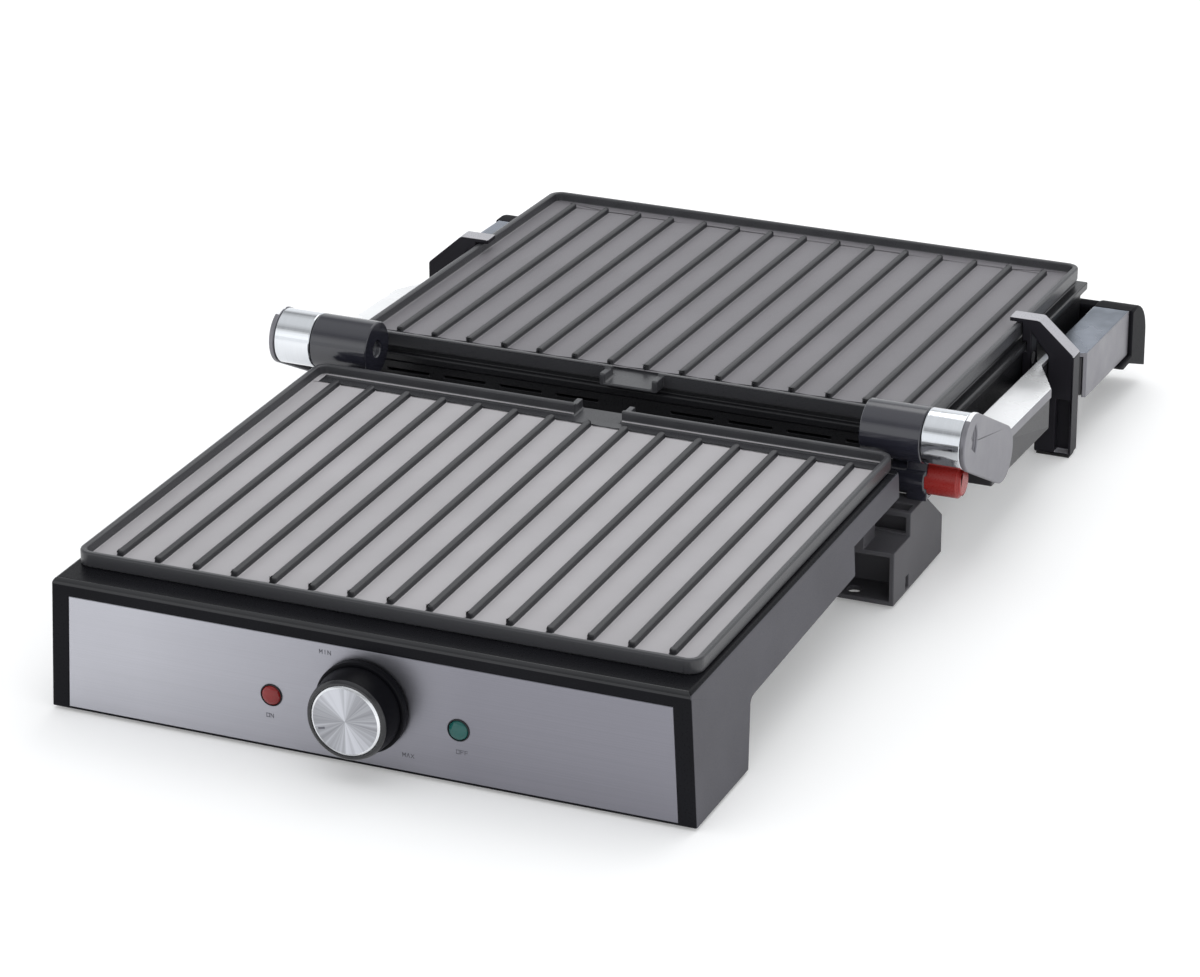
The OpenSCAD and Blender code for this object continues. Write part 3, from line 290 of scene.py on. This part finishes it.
capLow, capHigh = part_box("knob_cap")
finish = {
    "shellSide": mouldedPlastic("satinShell", (0.068, 0.066, 0.078), 0.5, gloss=0.3),
    "shellBlack": mouldedPlastic("blackShell", (0.009, 0.009, 0.011), 0.3, 900, 0.00001, 0.05, 0.06),
    "shellEdge": mouldedPlastic("glossyShellEdge", (0.018, 0.018, 0.02), 0.16, 900, 0.00001, 0.03, 0.45),
    "blackPlastic": mouldedPlastic("blackPlastic", (0.018, 0.017, 0.020), 0.42),
    "handlePlastic": mouldedPlastic("handlePlastic", (0.007, 0.007, 0.009), 0.5, 2600, 0.00006, 0.25, 0.05),
    "lidPlastic": mouldedPlastic("lidPlastic", (0.014, 0.014, 0.016), 0.3, gloss=0.35),
    "postPlastic": mouldedPlastic("postPlastic", (0.020, 0.020, 0.029), 0.15, 2600, 0.00002, 0.08, 1.0),
    "bracketPlastic": mouldedPlastic("bracketPlastic", (0.017, 0.016, 0.020), 0.38, gloss=0.1),
    # painted sheen: the bracket's upward faces are its black plastic, coloured light grey where light falls
    # on them
    "bracketTopPaintedSheen": mouldedPlastic("bracketTopPaintedSheen", (0.36, 0.352, 0.375), 0.3, gloss=0.9),
    "blockPlastic": mouldedPlastic("blockPlastic", (0.072, 0.07, 0.077), 0.5, gloss=0.3),
    # painted light and shade: the panel's first colour is the lit left end, its second the shaded right end
    "panelSteel": panelMetalPaintedShade("brushedPanelPaintedShade", (0.475, 0.475, 0.515), (0.248, 0.245, 0.278), 0.36),
    "lidSteel": brushedMetal("brushedLid", (0.52, 0.53, 0.55), 0.36),
    "plateRim": coating("plateRim", (0.040, 0.040, 0.044), 0.32),
    # both plates carry one dark grey coating; the lower plate's is painted lighter, as painted light
    "lowerSurfacePaintedLight": coating("lowerSurfacePaintedLight", (0.407, 0.39, 0.402), 0.5),
    "upperSurface": coating("upperSurface", (0.19, 0.18, 0.193), 0.48),
    # painted shade: the ribs are the plate's own coating, coloured near-black for the shade and dark
    # reflections on them
    "ribs": coating("ribPaintedShade", (0.014, 0.014, 0.017), 0.4),
    "chrome": brushedMetal("brightKnuckle", (0.80, 0.82, 0.85), 0.1, (1400, 40, 40), 1.0, 0.03, 0.01),
    # painted highlight at the front and painted reflection at the rear of the cover's top
    "coverTopPaintedReflection": coverMetalPaintedReflection("coverTopPaintedReflection", (0.96, 0.96, 0.965), (0.07, 0.09, 0.12), (0.27, 0.295, 0.35), 0.24),
    "coverSide": brushedMetal("coverSide", (0.235, 0.23, 0.25), 0.42, (60, 60, 60), 0.7, 0.04, 0.04),
    # the knob's metal face with a painted highlight
    "spunCapPaintedHighlight": spunMetalPaintedHighlight("spunCapPaintedHighlight", (0.46, 0.467, 0.50), 0.28, (capLow[2] + capHigh[2]) / 2, -22),
    "capEdge": brushedMetal("capEdge", (0.88, 0.89, 0.91), 0.2, (400, 400, 400), 1.0, 0.03, 0.02),
    "knobGloss": mouldedPlastic("knobGloss", (0.012, 0.012, 0.014), 0.2, 900, 0.00001, 0.03, 0.6),
    "knobBody": mouldedPlastic("knobBody", (0.004, 0.004, 0.0055), 0.4, 2600, 0.00004, 0.15, 0.08),
    "redButton": mouldedPlastic("redButton", (0.31, 0.018, 0.0145), 0.3, 1800, 0.00003, 0.1),
    "redLens": mouldedPlastic("redLens", (0.20, 0.012, 0.012), 0.14, 900, 0.00002, 0.05),
    "greenLens": mouldedPlastic("greenLens", (0.010, 0.09, 0.08), 0.14, 900, 0.00002, 0.05),
    "printInk": mouldedPlastic("printInk", (0.12, 0.12, 0.14), 0.6, 1500, 0.00002, 0.1),
    "rubber": mouldedPlastic("rubber", (0.012, 0.012, 0.012), 0.75, 1500, 0.0001, 0.3),
    "sheet": brushedMetal("brightSheet", (0.7, 0.71, 0.73), 0.3, (500, 500, 500), 1.0, 0.06, 0.05),
    "element": coating("elementSheath", (0.16, 0.15, 0.14), 0.5),
    "ceramic": mouldedPlastic("ceramic", (0.72, 0.70, 0.65), 0.5, 1400, 0.00005, 0.2),
    "screwSteel": brushedMetal("screwSteel", (0.6, 0.6, 0.62), 0.3, (900, 900, 900), 1.0, 0.06, 0.05),
}
print("finishes ready:", len(finish))


weldGap = 0.000002  # corners closer than this become one


def cleanCopy(node):
    work = bmesh.new()
    work.from_mesh(nodes[node].data)
    bmesh.ops.remove_doubles(work, verts=work.verts, dist=weldGap)
    return work


def showPiece(name, work, materials, body, standsFor=(), edge=None, steps=2, limit=28, smooth=32):
    mesh = bpy.data.meshes.new(name)
    work.to_mesh(mesh)
    work.free()
    for polygon in mesh.polygons:
        polygon.use_smooth = True
    mesh.set_sharp_from_angle(angle=math.radians(smooth))
    for material in materials:
        mesh.materials.append(material)
    piece = bpy.data.objects.new(name, mesh)
    scene.collection.objects.link(piece)
    if edge:
        bevel = piece.modifiers.new("roundedEdges", "BEVEL")
        bevel.width = edge
        bevel.segments = steps
        bevel.limit_method = "ANGLE"
        bevel.angle_limit = math.radians(limit)
        bevel.use_clamp_overlap = False  # keeps its width beside short edges
        weighted = piece.modifiers.new("evenShading", "WEIGHTED_NORMAL")
        weighted.weight = 100
        weighted.keep_sharp = True
    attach(piece, body)
    if standsFor:
        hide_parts(*standsFor)
    return piece


def softEdged(settings):
    work = cleanCopy(settings["node"])
    chooser = settings.get("chooser")
    if chooser:
        for face in work.faces:
            face.material_index = chooser(face)
    return showPiece(settings["piece"], work, settings["finishes"], settings["body"],
                     [settings["node"]], settings["edge"], settings.get("steps", 2))


shellTurn = {"side": 0.85, "slope": 0.15}  # how far a face turns to the side, and forward and up


def shellFace(face):
    if abs(face.normal.x) > shellTurn["side"]:
        return 1
    return 2 if face.normal.y < -shellTurn["slope"] and face.normal.z > shellTurn["slope"] else 0


baseShell = {"piece": "baseShell", "node": "base_housing", "body": "base", "slot": "shell",
             "finishes": [finish["shellBlack"], finish["shellSide"], finish["shellEdge"]],
             "chooser": shellFace, "edge": 0.0007, "steps": 3}
softEdged(baseShell)
for side in ("left", "right"):
    rearBlock = {"piece": "rearBlock_" + side, "node": "rear_block_" + side, "body": "base", "slot": "shell",
                 "finishes": [finish["blockPlastic"]], "edge": 0.0005}
    softEdged(rearBlock)
    hingePost = {"piece": "hingePost_" + side, "node": "hinge_post_" + side, "body": "base",
                 "slot": "black_plastic", "finishes": [finish["postPlastic"]], "edge": 0.0006}
    softEdged(hingePost)
print("base pieces made")


def circlePoints(x, z, radius, steps):
    return [(x + radius * math.cos(math.tau * i / steps), z + radius * math.sin(math.tau * i / steps))
            for i in range(steps)]


panelLow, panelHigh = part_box("front_panel")
panelLook = {"chamfer": 0.00025, "steps": 48, "back": panelHigh[1], "slack": 0.0001, "shaftGap": 0.0005,
             "lampHole": 0.9}


def loopAt(work, points, y):
    verts = [work.verts.new((x, y, z)) for x, z in points]
    return verts, [work.edges.new(pair) for pair in zip(verts, verts[1:] + verts[:1])]


def panelPiece(settings):
    source = cleanCopy("front_panel")
    slack = settings["slack"]
    front = [v.co for v in source.verts if v.co.y < panelLow[1] + slack / 2]
    bottomZ, topZ = min(c.z for c in front), max(c.z for c in front)
    bottomX = max(c.x for c in front if c.z < bottomZ + slack)
    topX = max(c.x for c in front if c.z > topZ - slack)
    source.free()
    cut = settings["chamfer"]
    outline = [(-bottomX, bottomZ), (bottomX, bottomZ), (topX, topZ), (-topX, topZ)]
    middleZ = (bottomZ + topZ) / 2
    inner = [(x - math.copysign(cut, x), z + (cut if z < middleZ else -cut)) for x, z in outline]
    work = bmesh.new()
    rings = [loopAt(work, inner, panelLow[1])]  # the front's outline, then its holes
    for x, z, radius in holes:
        rings.append(loopAt(work, circlePoints(x, z, radius, settings["steps"]), panelLow[1]))
    bmesh.ops.triangle_fill(work, use_beauty=True, edges=[e for _, edges in rings for e in edges])
    outer = loopAt(work, outline, panelLow[1] + cut)[0]
    back = loopAt(work, outline, settings["back"])[0]
    for i in range(4):
        j = (i + 1) % 4
        work.faces.new((rings[0][0][i], rings[0][0][j], outer[j], outer[i]))
        work.faces.new((outer[i], outer[j], back[j], back[i]))
    backRings = [back]  # the same rings on the back face
    for verts, _ in rings[1:]:
        far = [work.verts.new((v.co.x, settings["back"], v.co.z)) for v in verts]
        backRings.append(far)
        for i in range(len(verts)):
            j = (i + 1) % len(verts)
            work.faces.new((verts[i], verts[j], far[j], far[i]))
    farEdges = []
    for ring in backRings:
        for a, b in zip(ring, ring[1:] + ring[:1]):
            edge = work.edges.get((a, b)) or work.edges.new((a, b))
            farEdges.append(edge)
    bmesh.ops.triangle_fill(work, use_beauty=True, edges=farEdges)
    bmesh.ops.recalc_face_normals(work, faces=work.faces)
    showPiece("frontPanel", work, [finish["panelSteel"]], "base", ["front_panel"], smooth=20)


def middle(node):
    low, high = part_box(node)
    return [(a + b) / 2 for a, b in zip(low, high)]


lampPlaces = {colour: middle(colour + "_lamp_lens") for colour in ("red", "green")}
knobMiddle = middle("knob_skirt")
lampLow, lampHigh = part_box("red_lamp_lens")
lampRadius = (lampHigh[0] - lampLow[0]) / 2
shaftLow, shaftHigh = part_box("thermostat_shaft")
holes = [(knobMiddle[0], knobMiddle[2], (shaftHigh[0] - shaftLow[0]) / 2 + panelLook["shaftGap"])]
holes += [(place[0], place[2], lampRadius * panelLook["lampHole"]) for place in lampPlaces.values()]
panelPiece(panelLook)

# each letter is strokes through (across, up) points in a box of one by one
letters = {"M": [((0, 0), (0, 1), (0.5, 0.4), (1, 1), (1, 0))], "I": [((0.5, 0), (0.5, 1))],
           "N": [((0, 0), (0, 1), (1, 0), (1, 1))], "A": [((0, 0), (0.5, 1), (1, 0))],
           "X": [((0, 0), (1, 1)), ((0, 1), (1, 0))], "O": [((0, 0), (0, 1), (1, 1), (1, 0), (0, 0))],
           "F": [((0, 0), (0, 1), (1, 1)), ((0, 0.5), (0.8, 0.5))]}
marks = {"stroke": 0.00035, "lift": 0.00004, "sink": 0.00002, "high": 0.0017, "wide": 0.0013, "space": 0.0007,
         "words": (("ON", -0.0455, -0.0108), ("OFF", 0.0460, -0.0112),
                   ("MIN", -0.0180, 0.0205), ("MAX", 0.0205, -0.0215))}


def panelMarks(settings):
    work = bmesh.new()
    y = panelLow[1] - settings["lift"]
    wide, high, half = settings["wide"], settings["high"], settings["stroke"] / 2
    for word, middleX, offsetZ in settings["words"]:
        pitch = wide + settings["space"]
        startX = middleX - (len(word) * pitch - settings["space"]) / 2
        baseZ = (lampPlaces["red"][2] if word in ("ON", "OFF") else knobMiddle[2]) + offsetZ
        for n, letter in enumerate(word):
            for stroke in letters[letter]:
                points = [Vector((startX + n * pitch + u * wide, baseZ + v * high)) for u, v in stroke]
                for a, b in zip(points, points[1:]):
                    way = (b - a).normalized()
                    across = Vector((-way.y, way.x)) * half
                    ends = (a - way * half, b + way * half)
                    corners = [ends[0] + across, ends[1] + across, ends[1] - across, ends[0] - across]
                    front = [work.verts.new((c.x, y, c.y)) for c in corners]
                    rear = [work.verts.new((c.x, panelLow[1] + settings["sink"], c.y)) for c in corners]
                    work.faces.new(front)
                    work.faces.new(rear)
                    for i in range(4):
                        j = (i + 1) % 4
                        work.faces.new((front[i], front[j], rear[j], rear[i]))
    bmesh.ops.recalc_face_normals(work, faces=work.faces)
    showPiece("panelPrint", work, [finish["printInk"]], "base")


panelMarks(marks)
print("front panel made")

lowerLow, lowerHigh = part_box("lower_plate")
plateLook = {"drop": 0.0045, "ribHeight": 0.0026, "halfWidth": 0.144, "ribStart": 0.004, "ribEnd": 0.236,
             "spoutHalf": 0.0125, "spoutStart": 0.23, "slack": 0.0001, "edge": 0.0008, "steps": 2}
lidLook = {"tilt": math.radians(2), "reach": 0.285, "rise": 0.0026, "mirror": 0.243}  # the open lid


def ribbedPlate(piece, node, body, toPlate, surface, settings):
    work = cleanCopy(node)
    slack = settings["slack"]
    for face in work.faces:
        centre = toPlate @ face.calc_center_median()
        normal = toPlate.to_3x3() @ face.normal
        inside = abs(centre.x) < settings["halfWidth"]
        inside = inside and settings["ribStart"] < centre.y < settings["ribEnd"]
        height = centre.z + settings["drop"]  # above the flat between the ribs
        spout = abs(centre.x) < settings["spoutHalf"] and centre.y > settings["spoutStart"]
        # rib faces take the painted shade finish
        if inside and slack < height < settings["ribHeight"] + 2 * slack and not spout:
            face.material_index = 2
        elif normal.z > 0.9 and abs(height) < 2 * slack:
            face.material_index = 1
        else:
            face.material_index = 0
    showPiece(piece, work, [finish["plateRim"], surface, finish["ribs"]], body, [node],
              settings["edge"], settings["steps"])


# each turns a place into the plate's own: along from its edge far from the hinge, up from its rim's top
lowerPlace = Matrix.Translation((0, -lowerLow[1], -lowerHigh[2]))
lidOrigin = (0, lowerLow[1] + lidLook["reach"], lowerHigh[2] + lidLook["rise"])
upperPlace = (Matrix.Translation((0, lidLook["mirror"], 0)) @ Matrix.Scale(-1, 4, (0, 1, 0))
              @ (Matrix.Translation(lidOrigin) @ Matrix.Rotation(-lidLook["tilt"], 4, "X")).inverted())
ribbedPlate("lowerPlate", "lower_plate", "base", lowerPlace, finish["lowerSurfacePaintedLight"], plateLook)
ribbedPlate("upperPlate", "upper_plate", "lid", upperPlace, finish["upperSurface"], plateLook)
print("plates made")

skirtLow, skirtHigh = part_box("knob_skirt")
knob = {"centre": (knobMiddle[0], knobMiddle[2]), "back": skirtHigh[1], "capFront": capLow[1],
        "front": capHigh[1], "skirt": (skirtHigh[0] - skirtLow[0]) / 2, "face": 0.01875,
        "cap": (capHigh[0] - capLow[0]) / 2, "bezel": 0.0006, "flange": 0.0042, "corner": 0.0006,
        "taper": 0.0015,
        # points as (outward, to the back) from a corner of the profile
        "groove": ((-0.0004, 0.0), (-0.0004, -0.0005), (0.0, -0.0009)),
        "nose": ((0.0002, 0.0024), (0.0, 0.0014), (-0.0004, 0.0006), (-0.0011, 0.0)),
        "seat": ((0.0003, 0.0), (0.0001, 0.0003)),
        "chamfer": 0.0008, "lip": 0.0002, "faceIn": (0.0003, 0.0005), "recess": 0.0002, "backGap": 0.00002,
        "steps": 96, "ticks": 72, "tick": (0.0006, 0.0014, 0.0008), "tickSink": 0.00035,
        "pointer": (0.0032, 0.0003, 0.0009), "pointerAt": (0.68, 0.3), "pointerEdge": 0.0001,
        "pointerTurn": -14}  # degrees


def spunShape(profile, centreX, centreZ, steps):
    work = bmesh.new()
    points = [work.verts.new((centreX + radius, y, centreZ)) for radius, y in profile]
    edges = [work.edges.new(pair) for pair in zip(points, points[1:])]
    bmesh.ops.spin(work, geom=points + edges, cent=(centreX, 0, centreZ), axis=(0, 1, 0), dvec=(0, 0, 0),
                   angle=math.tau, steps=steps, use_merge=True, use_duplicate=False)
    bmesh.ops.remove_doubles(work, verts=work.verts, dist=weldGap / 2)
    bmesh.ops.recalc_face_normals(work, faces=work.faces)
    return work


def knobSkirt(settings):
    x, z = settings["centre"]
    back, front, skirt, cap = (settings[k] for k in ("back", "front", "skirt", "cap"))
    flange, corner = settings["flange"], settings["corner"]
    rim = settings["capFront"] + settings["bezel"]
    profile = [(0.0, back), (skirt - corner, back), (skirt, back - corner), (skirt, back - flange + corner),
               (skirt - corner, back - flange)]
    profile += [(skirt - settings["taper"] + u, back - flange + v) for u, v in settings["groove"]]
    profile += [(settings["face"] + u, rim + v) for u, v in settings["nose"]]
    profile += [(cap + u, rim + v) for u, v in settings["seat"]]
    profile += [(cap + settings["seat"][-1][0], front), (0.0, front)]
    work = spunShape(profile, x, z, settings["steps"])
    bezelEnd = rim + settings["nose"][1][1]
    for polygon in work.faces:
        polygon.material_index = 1 if polygon.calc_center_median().y < bezelEnd else 0
    tickX, tickEnds, tickZ = settings["tick"]
    for i in range(settings["ticks"]):
        place = (Matrix.Translation((x, back - flange / 2, z))
                 @ Matrix.Rotation(math.tau * i / settings["ticks"], 4, "Y")
                 @ Matrix.Translation((skirt - settings["tickSink"], 0, 0))
                 @ Matrix.Diagonal((tickX, flange - tickEnds, tickZ, 1)))
        bmesh.ops.create_cube(work, size=1.0, matrix=place)
    showPiece("knobSkirt", work, [finish["knobBody"], finish["knobGloss"]], "knob",
              ["knob_skirt"], smooth=40)


def knobCap(settings):
    x, z = settings["centre"]
    capFront, cap, chamfer, lip = (settings[k] for k in ("capFront", "cap", "chamfer", "lip"))
    back, inner, floor = settings["front"] - settings["backGap"], cap - chamfer, capFront + settings["recess"]
    edgeIn, floorIn = settings["faceIn"]
    profile = [(0.0, back), (cap, back), (cap, capFront + chamfer + lip), (cap - lip, capFront + chamfer),
               (inner, capFront + lip), (inner - edgeIn, capFront), (inner - floorIn, floor), (0.0, floor)]
    work = spunShape(profile, x, z, settings["steps"])
    for polygon in work.faces:
        polygon.material_index = 0 if polygon.normal.y < -0.99 else 1  # the flat face, or its edge
    showPiece("knobCap", work, [finish["spunCapPaintedHighlight"], finish["capEdge"]], "knob",
              ["knob_cap"], smooth=30)


def knobPointer(settings):
    x, z = settings["centre"]
    cap = settings["cap"]
    left, down = settings["pointerAt"]
    work = bmesh.new()
    place = (Matrix.Translation((x - cap * left, settings["capFront"] + settings["recess"], z - cap * down))
             @ Matrix.Rotation(math.radians(settings["pointerTurn"]), 4, "Y")
             @ Matrix.Diagonal((*settings["pointer"], 1)))
    bmesh.ops.create_cube(work, size=1.0, matrix=place)
    bmesh.ops.bevel(work, geom=work.edges[:], offset=settings["pointerEdge"], offset_type="OFFSET",
                    affect="EDGES", segments=1, profile=0.5, material=-1)
    showPiece("knobPointer", work, [finish["printInk"]], "knob")


knobSkirt(knob)
knobCap(knob)
knobPointer(knob)

lamps = {"panel": panelLow[1], "lens": lampRadius * 0.88, "rim": lampRadius, "out": 0.0006, "gap": 0.0001,
         "depth": 0.0055, "dome": 0.0022, "domeSteps": 8, "steps": 48}


def lampPieces(settings):
    panel, lens, rim, out, gap = (settings[k] for k in ("panel", "lens", "rim", "out", "gap"))
    for colour, place in lampPlaces.items():
        ring = [(lens, panel + 4 * gap), (rim, panel + gap), (rim, panel - out * 0.5),
                (rim - 2 * gap, panel - out), (lens + 2 * gap, panel - out), (lens, panel - out * 0.5),
                (lens, panel + 4 * gap)]
        showPiece(colour + "LampRim", spunShape(ring, place[0], place[2], settings["steps"]),
                  [finish["lidPlastic"]], "base")
        inner, foot, count = lens - gap, panel + settings["depth"], settings["domeSteps"]
        dome = [(0.0, foot), (inner, foot), (inner, panel)]
        for i in range(1, count + 1):
            turn = math.radians(90 * i / count)
            dome.append((inner * math.cos(turn), panel - settings["dome"] * math.sin(turn)))
        showPiece(colour + "LampLens", spunShape(dome, place[0], place[2], settings["steps"]),
                  [finish[colour + "Lens"]], "base", [colour + "_lamp_lens"], smooth=50)


lampPieces(lamps)
print("knob and lamps made")


# top faces take the painted highlight and reflection finish, and the other faces keep the cover's plain grey
def paintedTopFace(face):
    return 0 if face.normal.z > 0.9 else 1


# the bracket's upward faces get the painted sheen finish
def paintedSheenFace(face):
    return 0 if face.normal.z > 0.3 else 1


# node, piece, body, slot, finishes, rounding, and what tells the finishes apart
armPieces = (
    ("arm_cover_", "armCover_", "arms", "silver_cover", ("coverTopPaintedReflection", "coverSide"), 0.0006, paintedTopFace),
    ("arm_core_", "armCore_", "arms", "black_plastic", ("blackPlastic",), 0.0008, None),
    ("handle_end_", "handleEnd_", "arms", "black_plastic", ("handlePlastic",), 0.0012, None),
    ("knuckle_", "knuckle_", "arms", "chrome", ("chrome",), 0.0006, None),
    ("lid_bracket_", "lidBracket_", "lid", "black_plastic", ("bracketTopPaintedSheen", "bracketPlastic"), 0.0008,
     paintedSheenFace))
for side in ("left", "right"):
    for node, piece, body, slot, looks, edge, chooser in armPieces:
        softEdged({"piece": piece + side, "node": node + side, "body": body, "slot": slot, "edge": edge,
                   "finishes": [finish[look] for look in looks], "steps": 3, "chooser": chooser})

handleBar = {"piece": "handleBar", "node": "handle_bar", "body": "arms", "slot": "black_plastic",
             "finishes": [finish["handlePlastic"]], "edge": 0.002, "steps": 3}
softEdged(handleBar)
lidShell = {"piece": "lidShell", "node": "upper_housing", "body": "lid", "slot": "black_plastic",
            "finishes": [finish["lidPlastic"]], "edge": 0.0007}
softEdged(lidShell)
dripTray = {"piece": "dripTray", "node": "drip_tray", "body": "tray", "slot": "black_plastic",
            "finishes": [finish["blackPlastic"]], "edge": 0.0007}
softEdged(dripTray)
redButton = {"piece": "redButton", "node": "release_button", "body": "release", "slot": "button_red",
             "finishes": [finish["redButton"]], "edge": 0.0008, "steps": 3}
softEdged(redButton)
spring = showPiece("releaseSpring", cleanCopy("release_spring"), [finish["screwSteel"]], "base",
                   ["release_spring"])
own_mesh(spring)
print("arms, handle and lid made")

# these are shown as packed, with a finish of their own
plainNodes = {
    "sheet": ["lower_reflector", "upper_reflector", "lower_clips", "upper_clips"],
    "element": ["lower_heater", "upper_heater"],
    "ceramic": ["thermostat_body", "terminal_block", "lamp_holders"],
    "screwSteel": ["thermal_fuse", "base_screws", "post_screws", "block_screws", "handle_screws",
                   "bracket_screws", "thermostat_shaft", "hinge_shaft_left", "hinge_shaft_right",
                   "pivot_pin_left", "pivot_pin_right"],
    "rubber": ["cord_gland", "front_feet", "rear_feet", "bracket_pads"],
    "blackPlastic": ["bottom_cover"],
    "lidSteel": ["lid_panel"],
}
for finishName, names in plainNodes.items():
    for name in names:
        nodes[name].data.materials.clear()
        nodes[name].data.materials.append(finish[finishName])
print("plain nodes finished")

# the sky is (height, brightness), and a lamp is (name, place, size, power)
studio = {"floor": 14.0, "floorColour": (0.87, 0.865, 0.86), "floorLift": 0.20,
          "sky": ((0.0, 1.0), (0.40, 0.97), (0.52, 0.78), (0.62, 0.34), (0.72, 0.42), (0.86, 0.74),
                  (1.0, 0.80)),
          "skyTint": (0.96, 0.98, 1.0), "skyLevel": 1.42,
          "lamps": (("key", (0.15, 1.35, 1.9), 1.8, 11.0), ("fill", (-1.8, -2.4, 1.5), 1.8, 2.0))}


def seenRays(tree, links):
    rays = tree.new("ShaderNodeLightPath")
    direct, through = rays.outputs["Is Camera Ray"], rays.outputs["Is Transmission Ray"]
    return calculate(tree, links, "MAXIMUM", direct, through), rays.outputs["Is Glossy Ray"]


def makeFloor(settings):
    work = bmesh.new()
    bmesh.ops.create_grid(work, x_segments=1, y_segments=1, size=settings["floor"])
    mesh = bpy.data.meshes.new("floor")
    work.to_mesh(mesh)
    work.free()
    material, tree, links, shader = startMaterial("paleFloor", settings["floorColour"], 0.9)
    shader.inputs["Specular IOR Level"].default_value = 0.0
    glow = tree.new("ShaderNodeEmission")
    seen, glossy = seenRays(tree, links)
    both = tree.new("ShaderNodeAddShader")
    either = calculate(tree, links, "MAXIMUM", seen, glossy)
    links.new(calculate(tree, links, "MULTIPLY", either, settings["floorLift"]), glow.inputs["Strength"])
    links.new(shader.outputs[0], both.inputs[0])
    links.new(glow.outputs[0], both.inputs[1])
    links.new(both.outputs[0], tree["Material Output"].inputs["Surface"])
    mesh.materials.append(material)
    floor = bpy.data.objects.new("floor", mesh)
    scene.collection.objects.link(floor)


def makeWorld(settings):
    world = bpy.data.worlds.new("studio")
    scene.world = world
    world.use_nodes = True
    tree, links = world.node_tree.nodes, world.node_tree.links
    coordinates = tree.new("ShaderNodeTexCoord")
    split = tree.new("ShaderNodeSeparateXYZ")
    links.new(coordinates.outputs["Generated"], split.inputs["Vector"])
    sky = tree.new("ShaderNodeValToRGB")
    first, last = settings["sky"][0], settings["sky"][-1]
    sky.color_ramp.elements[0].position, sky.color_ramp.elements[1].position = first[0], last[0]
    for position, _ in settings["sky"][1:-1]:
        sky.color_ramp.elements.new(position)
    for element, (position, level) in zip(sky.color_ramp.elements, settings["sky"]):
        element.color = (*shade(settings["skyTint"], level), 1)
    links.new(split.outputs["Z"], sky.inputs["Fac"])
    seen, glossy = seenRays(tree, links)
    white = tree.new("ShaderNodeRGB")
    white.outputs[0].default_value = (1, 1, 1, 1)  # what the camera sees past the floor
    background = tree["Background"]
    links.new(blend(tree, links, seen, sky.outputs["Color"], white.outputs[0]), background.inputs["Color"])
    either = calculate(tree, links, "MAXIMUM", seen, glossy)
    links.new(spread(tree, links, either, settings["skyLevel"], 1.0, 0.0, 1.0), background.inputs["Strength"])


def makeLamps(settings):
    for name, place, size, power in settings["lamps"]:
        lamp = bpy.data.lights.new(name, "AREA")
        lamp.shape = "DISK"
        lamp.size = size
        lamp.energy = power
        holder = bpy.data.objects.new(name, lamp)
        holder.matrix_world = (Matrix.Translation(place)
                               @ (-Vector(place)).to_track_quat("-Z", "Y").to_matrix().to_4x4())
        scene.collection.objects.link(holder)


makeFloor(studio)
makeWorld(studio)
makeLamps(studio)
scene.view_settings.view_transform = "Standard"
print("floor and lights made")
